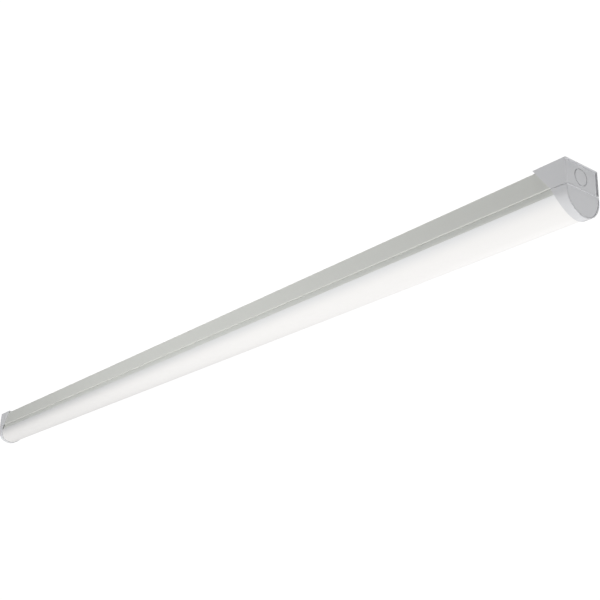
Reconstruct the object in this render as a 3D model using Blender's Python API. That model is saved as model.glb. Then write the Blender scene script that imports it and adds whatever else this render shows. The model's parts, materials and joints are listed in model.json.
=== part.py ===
"""Six-foot led batten: a steel spine on the ceiling, a drop-down gear tray and a half-round opal diffuser.

Metres, +Z up. X runs along the batten with the near end at +X, Y across it, and the origin is the centre of
the plane that meets the ceiling. The batten hangs below that plane.
"""

import math

import bmesh
import bpy
import numpy as np
from mathutils import Matrix, Vector

# Whole batten
overall_length = 1.8
cap_width = 0.060
seat_gap = 0.0003
cut_overrun = 0.002
join_depth = 0.0002
round_steps = 20
bowl_steps = 24
small_round_steps = 12
bend_steps = 4
small_bend_steps = 3
fold_steps = 2
slot_end_steps = 4
hexagon_sides = 6
sharp_angle = math.radians(35)

# Spine end caps, which slip over the spine's ends
cap_height = 0.0345
cap_wall = 0.002
cap_clearance = 0.0004
cap_reach = 0.050
cap_reach_at_parting = 0.0235
cap_corner_radius = 0.0009
cap_edge_chamfer = 0.0004
cap_parting_gap = 0.0003
recess_depth = 0.0018
rim_front = 0.0010
rim_root = 0.0018
parting_rim_front = 0.0005
parting_rim_root = 0.0013
knockout_radius = 0.0110
knockout_drop = 0.0172
knockout_groove = 0.0008
knockout_groove_depth = 0.0013
cap_hook_width = 0.006
cap_hook_thickness = 0.0016
cap_hook_length = 0.0052
cap_hook_barb = 0.0008
cap_hook_barb_height = 0.0022
cap_hook_spread = 0.030
cap_hook_from_end = 0.028

# Diffuser end caps
bowl_centre_drop = 0.041
bowl_wall = 0.0016
bowl_reach = 0.0115
bowl_edge_curve = 1.5
bowl_rib_wall = 0.0012
bowl_rib_length = 0.008
bowl_rib_start_angle = math.radians(13)
bowl_tongue_width = 0.024
bowl_tongue_length = 0.009
bowl_tongue_thickness = 0.0012
pry_notch_length = 0.015
pry_notch_width = 0.0014
pry_notch_height = 0.0036

# Spine, a folded steel channel
spine_sheet = 0.0008
spine_height = 0.0291
spine_bend = 0.0022
spine_lip_bend = 0.0026
spine_lip_width = 0.006
fixing_pad_radius = 0.0115
fixing_pad_slope = 0.0025
fixing_pad_from_end = 0.1959
fixing_pad_pitch = 0.350
fixing_slot_width = 0.0065
fixing_slot_length = 0.016
cable_entry_from_centre = 0.150
cable_entry_radius = 0.010
pressed_disc_radius = 0.0105
pressed_disc_lift = 0.0004
pressed_disc_from_end = 0.0759
hook_slot_clearance = 0.0006

# Cable grommet in the spine's entry
grommet_flange = 0.0025
grommet_flange_thickness = 0.0014
grommet_bore_radius = 0.0055
grommet_neck_clearance = 0.0003
grommet_soften_share = 0.333

# Terminal block under the spine's back
terminal_from_centre = 0.058
terminal_length = 0.030
terminal_width = 0.029
terminal_height = 0.0155
terminal_corner = 0.0012
pole_pitch = 0.0085
wire_entry_radius = 0.0017
wire_entry_depth = 0.009
wire_entry_drop = 0.0060
button_length = 0.0046
button_width = 0.0042
button_well_depth = 0.0065
button_stand_out = 0.0016
button_travel = 0.0012
button_clearance = 0.0003
button_dimple_radius = 0.0013
button_dimple_depth = 0.0004
terminal_foot_length = 0.008
terminal_foot_thickness = 0.002

# Small fasteners
screw_shank_radius = 0.0015
screw_hole_clearance = 0.0003
screw_head_radius = 0.0028
screw_head_height = 0.0017
screw_slot_width = 0.0008
screw_slot_depth = 0.0007
screw_tip_stand_out = 0.0015
screw_crown_share = 0.5
screw_shoulder_share = 0.9
screw_shoulder_height_share = 0.7
screw_point_share = 0.5
stud_radius = 0.0019
stud_length = 0.0095
stud_weld_radius = 0.0032
stud_weld_height = 0.0006
spine_stud_from_centre = 0.115
nut_flats = 0.0070
nut_height = 0.0030
nut_flange_radius = 0.0046
nut_flange_height = 0.0007

# Gear tray, a folded steel tray with a hem along each side
tray_sheet = 0.0007
tray_drop_gap = 0.0003
tray_inset = 0.0012
strip_height = 0.0102
tray_fold_width = 0.0038
tray_fold_bend = 0.0005
hem_gap = 0.0006
web_rise = 0.0048
web_bend = 0.0008
lead_hole_radius = 0.0045
lead_hole_from_driver = 0.036
lead_hole_offset = 0.0158
tray_stud_from_centre = 0.030

# Diffuser, an opal extrusion that hooks into the tray's hems
diffuser_wall = 0.0015
diffuser_edge_round = 0.0005
hook_wall = 0.0012
hook_rise = 0.0039
hook_bead = 0.00015
hook_straight_share = 0.667
hook_bead_share = 0.833
hook_taper_share = 0.333

# Led boards under the tray
board_count = 4
board_width = 0.020
board_thickness = 0.0010
board_spacing = 0.004
board_end_margin = 0.010
board_screw_from_end = 0.012
leds_per_board = 20
led_length = 0.0035
led_width = 0.0028
led_height = 0.0008
led_edge_margin = 0.024
connector_length = 0.0060
connector_width = 0.0045
connector_height = 0.0030
connector_from_end = 0.0045
connector_offset = 0.0065

# Led driver on the tray
driver_length = 0.260
driver_width = 0.030
driver_height = 0.020
driver_wall = 0.0012
driver_lid_skirt = 0.006
driver_lid_wall = 0.0010
driver_foot_length = 0.018
driver_foot_screw = 0.0145
driver_foot_screw_offset = 0.0120
driver_from_middle = 0.054
driver_board_rise = 0.0035
driver_board_thickness = 0.0016
driver_leg_width = 0.0024
driver_leg_from_end = 0.0048
driver_leg_from_side = 0.0024
driver_terminal_length = 0.011
driver_terminal_width = 0.022
driver_terminal_height = 0.010
driver_wire_drop = 0.0055
driver_entry_depth = 0.0055
driver_pole_pitch = 0.0110
transformer_length = 0.026
transformer_width = 0.018
transformer_height = 0.0115
capacitor_radius = 0.0050
capacitor_height = 0.012
choke_radius = 0.0062
choke_height = 0.010
capacitor_place_share = 0.25
choke_place_share = 0.333

# Spring clips that pinch between the spine's lips
clip_thickness = 0.0005
clip_width = 0.014
clip_base_width = 0.026
clip_shoulder_rise = 0.0057
clip_height = 0.0125
clip_tip_inset = 0.006
clip_bend = 0.0015
clip_from_end = 0.1159
clip_from_driver = 0.158
clearance_at_clip = 0.0003

# Hanging straps and the tabs that hold them
strap_from_end = 0.3359
strap_width = 0.008
strap_thickness = 0.0008
strap_fold_length = 0.016
strap_fold_pitch = 0.0026
strap_folds = 8
strap_bend = 0.00064
strap_slope_share = 0.1667
strap_overlap_share = 0.5
tab_width = 0.012
tab_thickness = 0.0008
tab_height = 0.0050
tab_foot = 0.006

# Leads inside the batten
lead_radius = 0.0012
lead_sides = 6
lead_bend = 0.008
lead_bend_steps = 4
lead_pitch_at_connector = 0.0030
lead_into_driver = 0.0037
lead_clear_of_driver = 0.0024
lead_into_block = 0.0045
lead_clear_of_block = 0.0048
lead_bow = 0.01445
lead_bow_spread_share = 0.25
lead_drop_shares = (0.25, 0.75)
earth_drop_shares = (0.25, 0.7)
earth_swing = 0.0036
earth_return = 0.0012
hole_approach = 0.0036
hole_passage = 0.0048
connector_approach = 0.0036
link_sag = 0.0006
tag_radius = 0.0062
tag_thickness = 0.0008

# Materials
paint_colour = (0.50, 0.51, 0.48)
cap_colour = (0.49, 0.50, 0.52)
opal_colour = (0.86, 0.86, 0.85)
tray_colour = (0.50, 0.51, 0.48)
zinc_colour = (0.62, 0.63, 0.62)
spring_colour = (0.50, 0.50, 0.51)
board_colour = (0.84, 0.85, 0.83)
rubber_colour = (0.04, 0.04, 0.04)
terminal_colour = (0.72, 0.72, 0.70)
button_colours = {
    "live": (0.25, 0.10, 0.05),
    "earth": (0.12, 0.36, 0.08),
    "neutral": (0.06, 0.16, 0.50),
}
driver_colour = (0.74, 0.74, 0.72)
circuit_colour = (0.05, 0.22, 0.10)
strap_colour = (0.80, 0.80, 0.78)
red_lead_colour = (0.55, 0.03, 0.03)
black_lead_colour = (0.03, 0.03, 0.03)

paint_roughness = 0.4
cap_roughness = 0.45
opal_roughness = 0.25
zinc_roughness = 0.35
spring_roughness = 0.3
board_roughness = 0.5
rubber_roughness = 0.8
plastic_roughness = 0.5
button_roughness = 0.45
lead_roughness = 0.45
strap_roughness = 0.7

# Places that follow from the sizes above
half_length = overall_length / 2
cap_half = cap_width / 2
spine_half = cap_half - cap_wall - cap_clearance
spine_top = -(cap_wall + cap_clearance)
spine_bottom = spine_top - spine_height
spine_ceiling = spine_top - spine_sheet
spine_end = half_length - recess_depth - cap_wall - seat_gap
lip_inner = spine_half - spine_lip_width
tray_half = spine_half - tray_inset
tray_top = spine_bottom - tray_drop_gap
hem_bottom = tray_top - strip_height
web_under = hem_bottom + web_rise
web_top = web_under + tray_sheet
bowl_top = -(cap_height + cap_parting_gap)
bowl_bottom = -(bowl_centre_drop + cap_half)
board_top = web_under - seat_gap
board_under = board_top - board_thickness
terminal_top = spine_ceiling - seat_gap
terminal_under = terminal_top - terminal_height
driver_under = web_top + seat_gap
driver_top = driver_under + driver_height
driver_right = -driver_from_middle
driver_left = driver_right - driver_length
driver_centre = (driver_left + driver_right) / 2
lead_hole_place = driver_left - lead_hole_from_driver
strap_place = spine_end - strap_from_end
pressed_disc_place = spine_end - pressed_disc_from_end


def clear_scene():
    for old in list(bpy.data.objects):
        bpy.data.objects.remove(old, do_unlink=True)


def material(name, colour, roughness, metallic=0.0):
    made = bpy.data.materials.get(name)
    if made:
        return made
    made = bpy.data.materials.new(name)
    made.use_nodes = True
    shader = made.node_tree.nodes["Principled BSDF"]
    shader.inputs["Base Color"].default_value = (*colour, 1.0)
    shader.inputs["Roughness"].default_value = roughness
    shader.inputs["Metallic"].default_value = metallic
    made.diffuse_color = (*colour, 1.0)
    return made


def spine_paint():
    return material("painted steel", paint_colour, paint_roughness)


def tray_paint():
    return material("painted tray steel", tray_colour, paint_roughness)


def cap_plastic():
    return material("moulded cap plastic", cap_colour, cap_roughness)


def opal_plastic():
    return material("opal diffuser plastic", opal_colour, opal_roughness)


def zinc():
    return material("zinc plated steel", zinc_colour, zinc_roughness, 1.0)


def spring_steel():
    return material("spring steel", spring_colour, spring_roughness, 1.0)


def board_enamel():
    return material("white board enamel", board_colour, board_roughness)


def grommet_rubber():
    return material("grommet rubber", rubber_colour, rubber_roughness)


def terminal_plastic():
    return material("terminal plastic", terminal_colour, plastic_roughness)


def driver_plastic():
    return material("driver case plastic", driver_colour, plastic_roughness)


def circuit_laminate():
    return material("circuit laminate", circuit_colour, plastic_roughness)


def strap_nylon():
    return material("strap nylon", strap_colour, strap_roughness)


def object_from(name, shape, finish=None, parent=None, place=(0.0, 0.0, 0.0)):
    """An object made from a bmesh, at its own place and, where a parent is given, carried by it."""
    bmesh.ops.recalc_face_normals(shape, faces=shape.faces[:])
    mesh = bpy.data.meshes.new(name)
    shape.to_mesh(mesh)
    shape.free()
    return object_of_mesh(name, mesh, finish, parent, place)


def object_of_mesh(name, mesh, finish=None, parent=None, place=(0.0, 0.0, 0.0)):
    made = bpy.data.objects.new(name, mesh)
    bpy.context.scene.collection.objects.link(made)
    made.location = place
    if finish and not mesh.materials:
        mesh.materials.append(finish)
    if parent:
        carry(made, parent)
    return made


def carry(child, parent):
    child.parent = parent
    child.matrix_parent_inverse = Matrix.Translation(parent.location).inverted()


def hide_tool(tool):
    tool.hide_render = True
    tool.display_type = "WIRE"


def boolean(target, tool, operation):
    hide_tool(tool)
    if not tool.parent:
        carry(tool, target)
    change = target.modifiers.new(tool.name, "BOOLEAN")
    change.operation = operation
    change.solver = "EXACT"
    change.object = tool


def cut(target, name, shape):
    boolean(target, object_from(name, shape), "DIFFERENCE")


def join(target, name, shape):
    boolean(target, object_from(name, shape), "UNION")


def arc(centre, radius, start, end, steps):
    """Points along an arc in a plane, angles in radians from the first axis."""
    angles = np.linspace(start, end, steps + 1)
    return [(centre[0] + radius * math.cos(a), centre[1] + radius * math.sin(a)) for a in angles]


def loft(shape, sections):
    """Skins equal closed rings of points one after the other, with a face on the first and the last."""
    rings = [[shape.verts.new(point) for point in ring] for ring in sections]
    for ring, after in zip(rings, rings[1:]):
        for index in range(len(ring)):
            following = (index + 1) % len(ring)
            shape.faces.new((ring[index], ring[following], after[following], after[index]))
    shape.faces.new(rings[0])
    shape.faces.new(rings[-1])
    return shape


def prism_along_x(outline, start, end):
    return loft(bmesh.new(), [[(x, y, z) for y, z in outline] for x in (start, end)])


def prism_along_y(outline, start, end):
    return loft(bmesh.new(), [[(x, y, z) for x, z in outline] for y in (start, end)])


def prism_along_z(outline, start, end):
    return loft(bmesh.new(), [[(x, y, z) for x, y in outline] for z in (start, end)])


def rectangle(centre, width, height):
    x, y = centre
    return [
        (x - width / 2, y - height / 2),
        (x + width / 2, y - height / 2),
        (x + width / 2, y + height / 2),
        (x - width / 2, y + height / 2),
    ]


def block(shape, low, high):
    """Adds a box between two corners."""
    corners = ((low[0], low[1]), (high[0], low[1]), (high[0], high[1]), (low[0], high[1]))
    return loft(shape, [[(x, y, z) for x, y in corners] for z in (low[2], high[2])])


def turned(shape, profile, centre, steps):
    """Adds a solid turned about Z from its (radius, z) profile, bottom rim to top rim."""
    angles = [2 * math.pi * (step + 0.5) / steps for step in range(steps)]
    rings = [
        [(centre[0] + radius * math.cos(a), centre[1] + radius * math.sin(a), z) for a in angles]
        for radius, z in profile
    ]
    return loft(shape, rings)


def tube_ring(shape, profile, centre, steps):
    """Adds a ring turned about Z from a closed (radius, z) profile."""
    rings = []
    for step in range(steps):
        a = 2 * math.pi * step / steps
        rings.append([
            shape.verts.new((centre[0] + radius * math.cos(a), centre[1] + radius * math.sin(a), z))
            for radius, z in profile
        ])
    for ring, after in zip(rings, rings[1:] + rings[:1]):
        for index in range(len(ring)):
            following = (index + 1) % len(ring)
            shape.faces.new((ring[index], ring[following], after[following], after[index]))
    return shape


def sheet_outline(path, bends, thickness, steps):
    """The closed outline of a folded sheet, from its middle line's corners and the radius at each."""
    points = [(Vector(path[0]), Vector(path[1]) - Vector(path[0]))]
    for before, corner, after, bend in zip(path, path[1:], path[2:], bends):
        corner = Vector(corner)
        arriving = (corner - Vector(before)).normalized()
        leaving = (Vector(after) - corner).normalized()
        turn = arriving.angle_signed(leaving)
        reach = bend * math.tan(abs(turn) / 2)
        side = Vector((-arriving.y, arriving.x)) * (-1.0 if turn > 0 else 1.0)
        centre = corner - arriving * reach + side * bend
        spoke = -side * bend
        for step in range(steps + 1):
            turned_by = -turn * step / steps
            spun = Matrix.Rotation(turned_by, 2) @ spoke
            points.append((centre + spun, Matrix.Rotation(turned_by, 2) @ arriving))
    points.append((Vector(path[-1]), Vector(path[-1]) - Vector(path[-2])))
    left, right = [], []
    for point, direction in points:
        direction = direction.normalized()
        normal = Vector((-direction.y, direction.x)) * (thickness / 2)
        left.append(tuple(point + normal))
        right.append(tuple(point - normal))
    return left + right[::-1]


def mirrored(path):
    """A path over both halves of the section, from its +Y half given outer end first."""
    return list(path) + [(-y, z) for y, z in reversed(path)]


def screw_hole(shape, centre, low, high):
    """Adds a round hole that clears a screw's shank, run out beyond both heights."""
    radius = screw_shank_radius + screw_hole_clearance
    profile = [(radius, low - cut_overrun), (radius, high + cut_overrun)]
    return turned(shape, profile, centre, small_round_steps)


def wire_entry(shape, start, stop, y, z):
    """Adds a round wire entry along X."""
    last = 2 * math.pi * (small_round_steps - 1) / small_round_steps
    ring = arc((y, z), wire_entry_radius, 0.0, last, small_round_steps - 1)
    return loft(shape, [[(x, yy, zz) for yy, zz in ring] for x in sorted((start, stop))])


def body_frames():
    """Empties that carry the fixed spine and the sliding tray."""
    frames = {}
    for name, height in (("spine_frame", 0.0), ("tray_frame", tray_top)):
        frame = bpy.data.objects.new(name, None)
        bpy.context.scene.collection.objects.link(frame)
        frame.location = (0.0, 0.0, height)
        frame.empty_display_size = cap_width
        frames[name] = frame
    return frames["spine_frame"], frames["tray_frame"]


# Spine channel

def slot_outline(centre, length, width):
    """A round-ended slot along X."""
    reach = (length - width) / 2
    x, y = centre
    return (
        arc((x + reach, y), width / 2, -math.pi / 2, math.pi / 2, slot_end_steps)
        + arc((x - reach, y), width / 2, math.pi / 2, 3 * math.pi / 2, slot_end_steps)
    )


def fixing_pad_places():
    outer = spine_end - fixing_pad_from_end
    return [x for far in (outer - fixing_pad_pitch, outer) for x in (-far, far)]


def pad_shell(shape, x, top, radius, bottom):
    """A raised pad: a cone frustum whose small end reaches the given top."""
    return turned(shape, [(radius + fixing_pad_slope, bottom), (radius, top)], (x, 0.0), round_steps)


def tab_outline(foot_height, direction):
    """An upright tab with a bent foot, as a folded strip in the XZ plane of its own place."""
    rise = direction * tab_height
    path = [(-tab_foot, foot_height), (0.0, foot_height), (0.0, foot_height + rise)]
    return sheet_outline(path, [tab_thickness], tab_thickness, small_bend_steps)


def spine_channel(parent):
    middle = spine_sheet / 2
    path = mirrored([
        (lip_inner, spine_bottom + middle),
        (spine_half - middle, spine_bottom + middle),
        (spine_half - middle, spine_top - middle),
    ])
    bends = [spine_lip_bend, spine_bend, spine_bend, spine_lip_bend]
    outline = sheet_outline(path, bends, spine_sheet, bend_steps)
    made = object_from("spine_channel", prism_along_x(outline, -spine_end, spine_end), spine_paint(), parent)

    for number, side in enumerate((-1, 1), 1):
        tab = prism_along_y(tab_outline(spine_ceiling - tab_thickness / 2 + join_depth, -1),
                            -tab_width / 2, tab_width / 2)
        bmesh.ops.translate(tab, verts=tab.verts[:], vec=(side * strap_place, 0.0, 0.0))
        join(made, "spine_strap_tab_%d" % number, tab)
    raised = bmesh.new()
    hollow = bmesh.new()
    for x in fixing_pad_places() + [0.0]:
        pad_shell(raised, x, 0.0, fixing_pad_radius, spine_top - middle)
        pad_shell(hollow, x, -spine_sheet, fixing_pad_radius - spine_sheet, spine_ceiling - join_depth)
    outer = pressed_disc_radius
    inner = outer - pressed_disc_lift
    for x in (-pressed_disc_place, -cable_entry_from_centre, pressed_disc_place):
        disc = [(outer, spine_top - middle), (outer, spine_top + pressed_disc_lift)]
        dent = [(inner, spine_ceiling - join_depth), (inner, spine_ceiling + pressed_disc_lift)]
        turned(raised, disc, (x, 0.0), round_steps)
        turned(hollow, dent, (x, 0.0), round_steps)
    join(made, "spine_raised_pads", raised)
    cut(made, "spine_pad_hollows", hollow)

    holes = bmesh.new()
    for x in fixing_pad_places():
        slot = slot_outline((x, 0.0), fixing_slot_length, fixing_slot_width)
        loft(holes, [[(px, py, z) for px, py in slot] for z in (spine_ceiling - cut_overrun, cut_overrun)])
    turned(holes, [(cable_entry_radius, spine_ceiling - cut_overrun), (cable_entry_radius, cut_overrun)],
           (cable_entry_from_centre, 0.0), round_steps)
    for side in (-1, 1):
        for y in (-cap_hook_spread / 2, cap_hook_spread / 2):
            x = side * (half_length - cap_hook_from_end)
            length = cap_hook_thickness + cap_hook_barb + 2 * hook_slot_clearance
            width = cap_hook_width + 2 * hook_slot_clearance
            block(holes, (x - length / 2, y - width / 2, spine_ceiling - cut_overrun),
                  (x + length / 2, y + width / 2, cut_overrun))
    for x in terminal_screw_places():
        screw_hole(holes, (x, 0.0), spine_ceiling, 0.0)
    cut(made, "spine_holes", holes)
    return made


# Spine end caps

def cap_ring(inset, x, lift=None):
    """The spine cap's outline at one place along the batten: a box with rounded top corners, drawn in by
    inset. Its bottom is drawn up by lift, where that is given."""
    half = cap_half - inset
    top = -inset
    bottom = -cap_height + (inset if lift is None else lift)
    radius = cap_corner_radius
    points = [(-half, bottom)]
    points += arc((-half + radius, top - radius), radius, math.pi, math.pi / 2, small_bend_steps)
    points += arc((half - radius, top - radius), radius, math.pi / 2, 0.0, small_bend_steps)
    points += [(half, bottom)]
    return [(x, y, z) for y, z in points]


def recess_insets():
    """How far a recess is drawn in from the sides and from the parting, first just outside the end and
    then at its floor."""
    draft = (rim_root - rim_front) / recess_depth
    parting_draft = (parting_rim_root - parting_rim_front) / recess_depth
    outside = (rim_front - draft * cut_overrun, parting_rim_front - parting_draft * cut_overrun)
    return outside, (rim_root, parting_rim_root)


def spine_cap(side, name, parent):
    def at(from_end):
        return side * (half_length - from_end)

    body = loft(bmesh.new(), [
        cap_ring(cap_edge_chamfer, at(0.0)),
        cap_ring(0.0, at(cap_edge_chamfer)),
        cap_ring(0.0, at(cap_reach)),
    ])
    made = object_from(name + "_spine_cap", body, cap_plastic(), parent)

    floor_inside = recess_depth + cap_wall
    hollow = bmesh.new()
    ends = sorted((at(cap_reach + cut_overrun), at(floor_inside)))
    block(hollow, (ends[0], -cap_half + cap_wall, -cap_height - cut_overrun),
          (ends[1], cap_half - cap_wall, -cap_wall))
    cut(made, name + "_spine_cap_hollow", hollow)

    slant = (cap_reach - cap_reach_at_parting) / cap_height
    over = cut_overrun
    wedge = [
        (at(cap_reach - slant * -over), over),
        (at(cap_reach_at_parting - slant * over), -cap_height - over),
        (at(cap_reach + 2 * over), -cap_height - over),
        (at(cap_reach + 2 * over), over),
    ]
    cut(made, name + "_spine_cap_slant", prism_along_y(wedge, -cap_half - over, cap_half + over))

    outside, floor = recess_insets()
    recess = loft(bmesh.new(), [
        cap_ring(outside[0], at(-over), outside[1]),
        cap_ring(floor[0], at(recess_depth), floor[1]),
    ])
    cut(made, name + "_spine_cap_recess", recess)

    groove = bmesh.new()
    inner = knockout_radius - knockout_groove / 2
    outer = knockout_radius + knockout_groove / 2
    tube_ring(groove, [(inner, -knockout_groove_depth), (outer, -knockout_groove_depth),
                       (outer, over / 2), (inner, over / 2)], (0.0, 0.0), round_steps + small_round_steps)
    facing = Matrix.Translation((at(recess_depth), 0.0, -knockout_drop))
    facing = facing @ Matrix.Rotation(side * math.pi / 2, 4, "Y")
    bmesh.ops.transform(groove, matrix=facing, verts=groove.verts[:])
    cut(made, name + "_spine_cap_knockout", groove)

    hooks = bmesh.new()
    for y in (-cap_hook_spread / 2, cap_hook_spread / 2):
        base = cap_hook_from_end + cap_hook_barb / 2
        root = -cap_wall + join_depth
        tip = -cap_wall - cap_hook_length
        outline = [
            (at(base + cap_hook_thickness / 2), root),
            (at(base - cap_hook_thickness / 2), root),
            (at(base - cap_hook_thickness / 2), tip + cap_hook_barb_height),
            (at(base - cap_hook_thickness / 2 - cap_hook_barb), tip + cap_hook_barb_height),
            (at(base - cap_hook_thickness / 2), tip),
            (at(base + cap_hook_thickness / 2), tip),
        ]
        rings = [[(x, yy, z) for x, z in outline] for yy in (y - cap_hook_width / 2, y + cap_hook_width / 2)]
        loft(hooks, rings)
    join(made, name + "_spine_cap_hooks", hooks)
    return made


# Diffuser end caps

def bowl_ring(inset, x, top=bowl_top):
    """The diffuser cap's outline, drawn in by inset: straight sides that run into a half round."""
    half = cap_half - inset
    points = [(-half, top)]
    points += arc((0.0, -bowl_centre_drop), half, math.pi, 2 * math.pi, bowl_steps)
    points += [(half, top)]
    return [(x, y, z) for y, z in points]


def bowl_edge(at):
    """The diffuser cap's inner edge, seen from the side, swept back towards the bottom."""
    points = []
    for share in np.linspace(0.0, 1.0, small_round_steps + 1):
        z = bowl_top + (bowl_bottom - bowl_top) * share
        reach = bowl_reach + (cap_reach_at_parting - bowl_reach) * (1.0 - share) ** bowl_edge_curve
        points.append((at(reach), z))
    return points


def rib_outline():
    """The rib inside the diffuser's end, an arc-shaped strip."""
    outer = cap_half - bowl_wall - seat_gap - diffuser_wall - seat_gap
    inner = outer - bowl_rib_wall
    start, end = math.pi + bowl_rib_start_angle, 2 * math.pi - bowl_rib_start_angle
    centre = (0.0, -bowl_centre_drop)
    return arc(centre, outer, start, end, bowl_steps) + arc(centre, inner, end, start, bowl_steps)


def diffuser_cap(side, name, parent):
    def at(from_end):
        return side * (half_length - from_end)

    over = cut_overrun
    widest = cap_reach_at_parting + over
    body = loft(bmesh.new(), [
        bowl_ring(cap_edge_chamfer, at(0.0), bowl_top - cap_edge_chamfer),
        bowl_ring(0.0, at(cap_edge_chamfer)),
        bowl_ring(0.0, at(widest)),
    ])
    made = object_from(name + "_diffuser_cap", body, cap_plastic(), parent)

    floor_inside = recess_depth + cap_wall
    hollow = loft(bmesh.new(), [
        bowl_ring(bowl_wall, at(floor_inside), bowl_top + over),
        bowl_ring(bowl_wall, at(widest + over), bowl_top + over),
    ])
    cut(made, name + "_diffuser_cap_hollow", hollow)

    edge = bowl_edge(at)
    outline = [(edge[0][0], edge[0][1] + over)] + edge + [(edge[-1][0], edge[-1][1] - over)]
    outline += [(at(widest + over), bowl_bottom - over), (at(widest + over), bowl_top + over)]
    cut(made, name + "_diffuser_cap_edge", prism_along_y(outline, -cap_half - over, cap_half + over))

    outside, floor = recess_insets()
    recess = loft(bmesh.new(), [
        bowl_ring(outside[0], at(-over), bowl_top - outside[1]),
        bowl_ring(floor[0], at(recess_depth), bowl_top - floor[1]),
    ])
    cut(made, name + "_diffuser_cap_recess", recess)

    notches = bmesh.new()
    for y in (-1, 1):
        wide = cap_half + over
        corner = [
            (at(-over), y * (cap_half - pry_notch_width), bowl_top),
            (at(-over), y * cap_half, bowl_top - pry_notch_height),
            (at(pry_notch_length), y * cap_half, bowl_top),
        ]
        first, second, third = (Vector(point) for point in corner)
        spread = (first + second + third) / 3
        grown = [spread + (point - spread) * 3 for point in (first, second, third)]
        apex = Vector((at(-over), y * wide, bowl_top)) + (Vector((0.0, y, 1.0)) * cap_half)
        tips = [notches.verts.new(point) for point in grown + [apex]]
        for face in ((0, 1, 2), (0, 1, 3), (1, 2, 3), (2, 0, 3)):
            notches.faces.new([tips[index] for index in face])
    cut(made, name + "_diffuser_cap_notches", notches)

    ends = (at(floor_inside - join_depth), at(floor_inside + bowl_rib_length))
    join(made, name + "_diffuser_cap_rib", prism_along_x(rib_outline(), *ends))

    tongue = bmesh.new()
    low, high = sorted((at(floor_inside - join_depth), at(floor_inside + bowl_tongue_length)))
    bottom = web_top + seat_gap
    block(tongue, (low, -bowl_tongue_width / 2, bottom),
          (high, bowl_tongue_width / 2, bottom + bowl_tongue_thickness))
    join(made, name + "_diffuser_cap_tongue", tongue)
    return made


# Grommet, terminal block and earth stud on the spine

def cable_grommet(parent):
    neck = cable_entry_radius - grommet_neck_clearance
    flange = cable_entry_radius + grommet_flange
    over_sheet = spine_top + seat_gap
    under_sheet = spine_ceiling - seat_gap
    top = over_sheet + grommet_flange_thickness
    bottom = under_sheet - grommet_flange_thickness
    soften = grommet_flange_thickness * grommet_soften_share
    profile = [
        (grommet_bore_radius, bottom),
        (flange - soften, bottom),
        (flange, bottom + soften),
        (flange, under_sheet),
        (neck, under_sheet),
        (neck, over_sheet),
        (flange, over_sheet),
        (flange, top - soften),
        (flange - soften, top),
        (grommet_bore_radius, top),
    ]
    shape = tube_ring(bmesh.new(), profile, (cable_entry_from_centre, 0.0), round_steps)
    made = object_from("cable_grommet", shape, grommet_rubber(), parent)
    return made


def pole_places():
    return (("live", -pole_pitch), ("earth", 0.0), ("neutral", pole_pitch))


def terminal_screw_places():
    end = terminal_from_centre + terminal_length
    return [end + terminal_foot_length / 2]


def terminal_block(parent):
    low_x, high_x = terminal_from_centre, terminal_from_centre + terminal_length
    half = terminal_width / 2
    c = terminal_corner
    outline = [
        (-half, terminal_top), (-half, terminal_under + c), (-half + c, terminal_under),
        (half - c, terminal_under), (half, terminal_under + c), (half, terminal_top),
    ]
    made = object_from("terminal_block", prism_along_x(outline, low_x, high_x), terminal_plastic(), parent)

    foot = bmesh.new()
    block(foot, (high_x - join_depth, -half / 2, terminal_top - terminal_foot_thickness),
          (high_x + terminal_foot_length, half / 2, terminal_top))
    join(made, "terminal_block_foot", foot)

    holes = bmesh.new()
    for x in terminal_screw_places():
        screw_hole(holes, (x, 0.0), terminal_top - terminal_foot_thickness, terminal_top)
    cut(made, "terminal_block_screw_hole", holes)

    entries = bmesh.new()
    middle = terminal_from_centre + terminal_length / 2
    half_well = button_length / 2 + button_clearance
    half_width = button_width / 2 + button_clearance
    for pole, y in pole_places():
        wire_entry(entries, low_x - cut_overrun, low_x + wire_entry_depth, y, wire_height())
        wire_entry(entries, high_x - wire_entry_depth, high_x + cut_overrun, y, wire_height())
        block(entries, (middle - half_well, y - half_width, terminal_under - cut_overrun),
              (middle + half_well, y + half_width, terminal_under + button_well_depth))
    cut(made, "terminal_block_openings", entries)
    return made


def terminal_button(pole, y, parent):
    """A release button, with its origin at the middle of the face that a finger presses."""
    x = terminal_from_centre + terminal_length / 2
    z = terminal_under - button_stand_out
    top = button_stand_out + button_well_depth - button_travel - 2 * button_clearance
    c = button_clearance
    half_x, half_y = button_length / 2, button_width / 2
    shape = loft(bmesh.new(), [
        [(px, py, 0.0) for px, py in rectangle((0.0, 0.0), 2 * (half_x - c), 2 * (half_y - c))],
        [(px, py, c) for px, py in rectangle((0.0, 0.0), 2 * half_x, 2 * half_y)],
        [(px, py, top) for px, py in rectangle((0.0, 0.0), 2 * half_x, 2 * half_y)],
    ])
    finish = material("button " + pole, button_colours[pole], button_roughness)
    made = object_from("terminal_button_" + pole, shape, finish, parent, (x, y, z))
    profile = [(button_dimple_radius, -cut_overrun), (button_dimple_radius, button_dimple_depth)]
    dimple = turned(bmesh.new(), profile, (0.0, 0.0), small_round_steps)
    tool = object_from("terminal_button_dimple_" + pole, dimple, None, parent, (x, y, z))
    boolean(made, tool, "DIFFERENCE")
    return made


def pan_screw_mesh(grip):
    """A slotted pan-head screw: its head below its own origin, its shank up through the grip and beyond."""
    shape = bmesh.new()
    profile = [
        (screw_head_radius * screw_crown_share, -screw_head_height),
        (screw_head_radius * screw_shoulder_share, -screw_head_height * screw_shoulder_height_share),
        (screw_head_radius, 0.0),
        (screw_shank_radius, 0.0),
        (screw_shank_radius, grip + screw_tip_stand_out),
        (screw_shank_radius * screw_point_share, grip + 2 * screw_tip_stand_out),
    ]
    return turned(shape, profile, (0.0, 0.0), small_round_steps)


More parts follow.
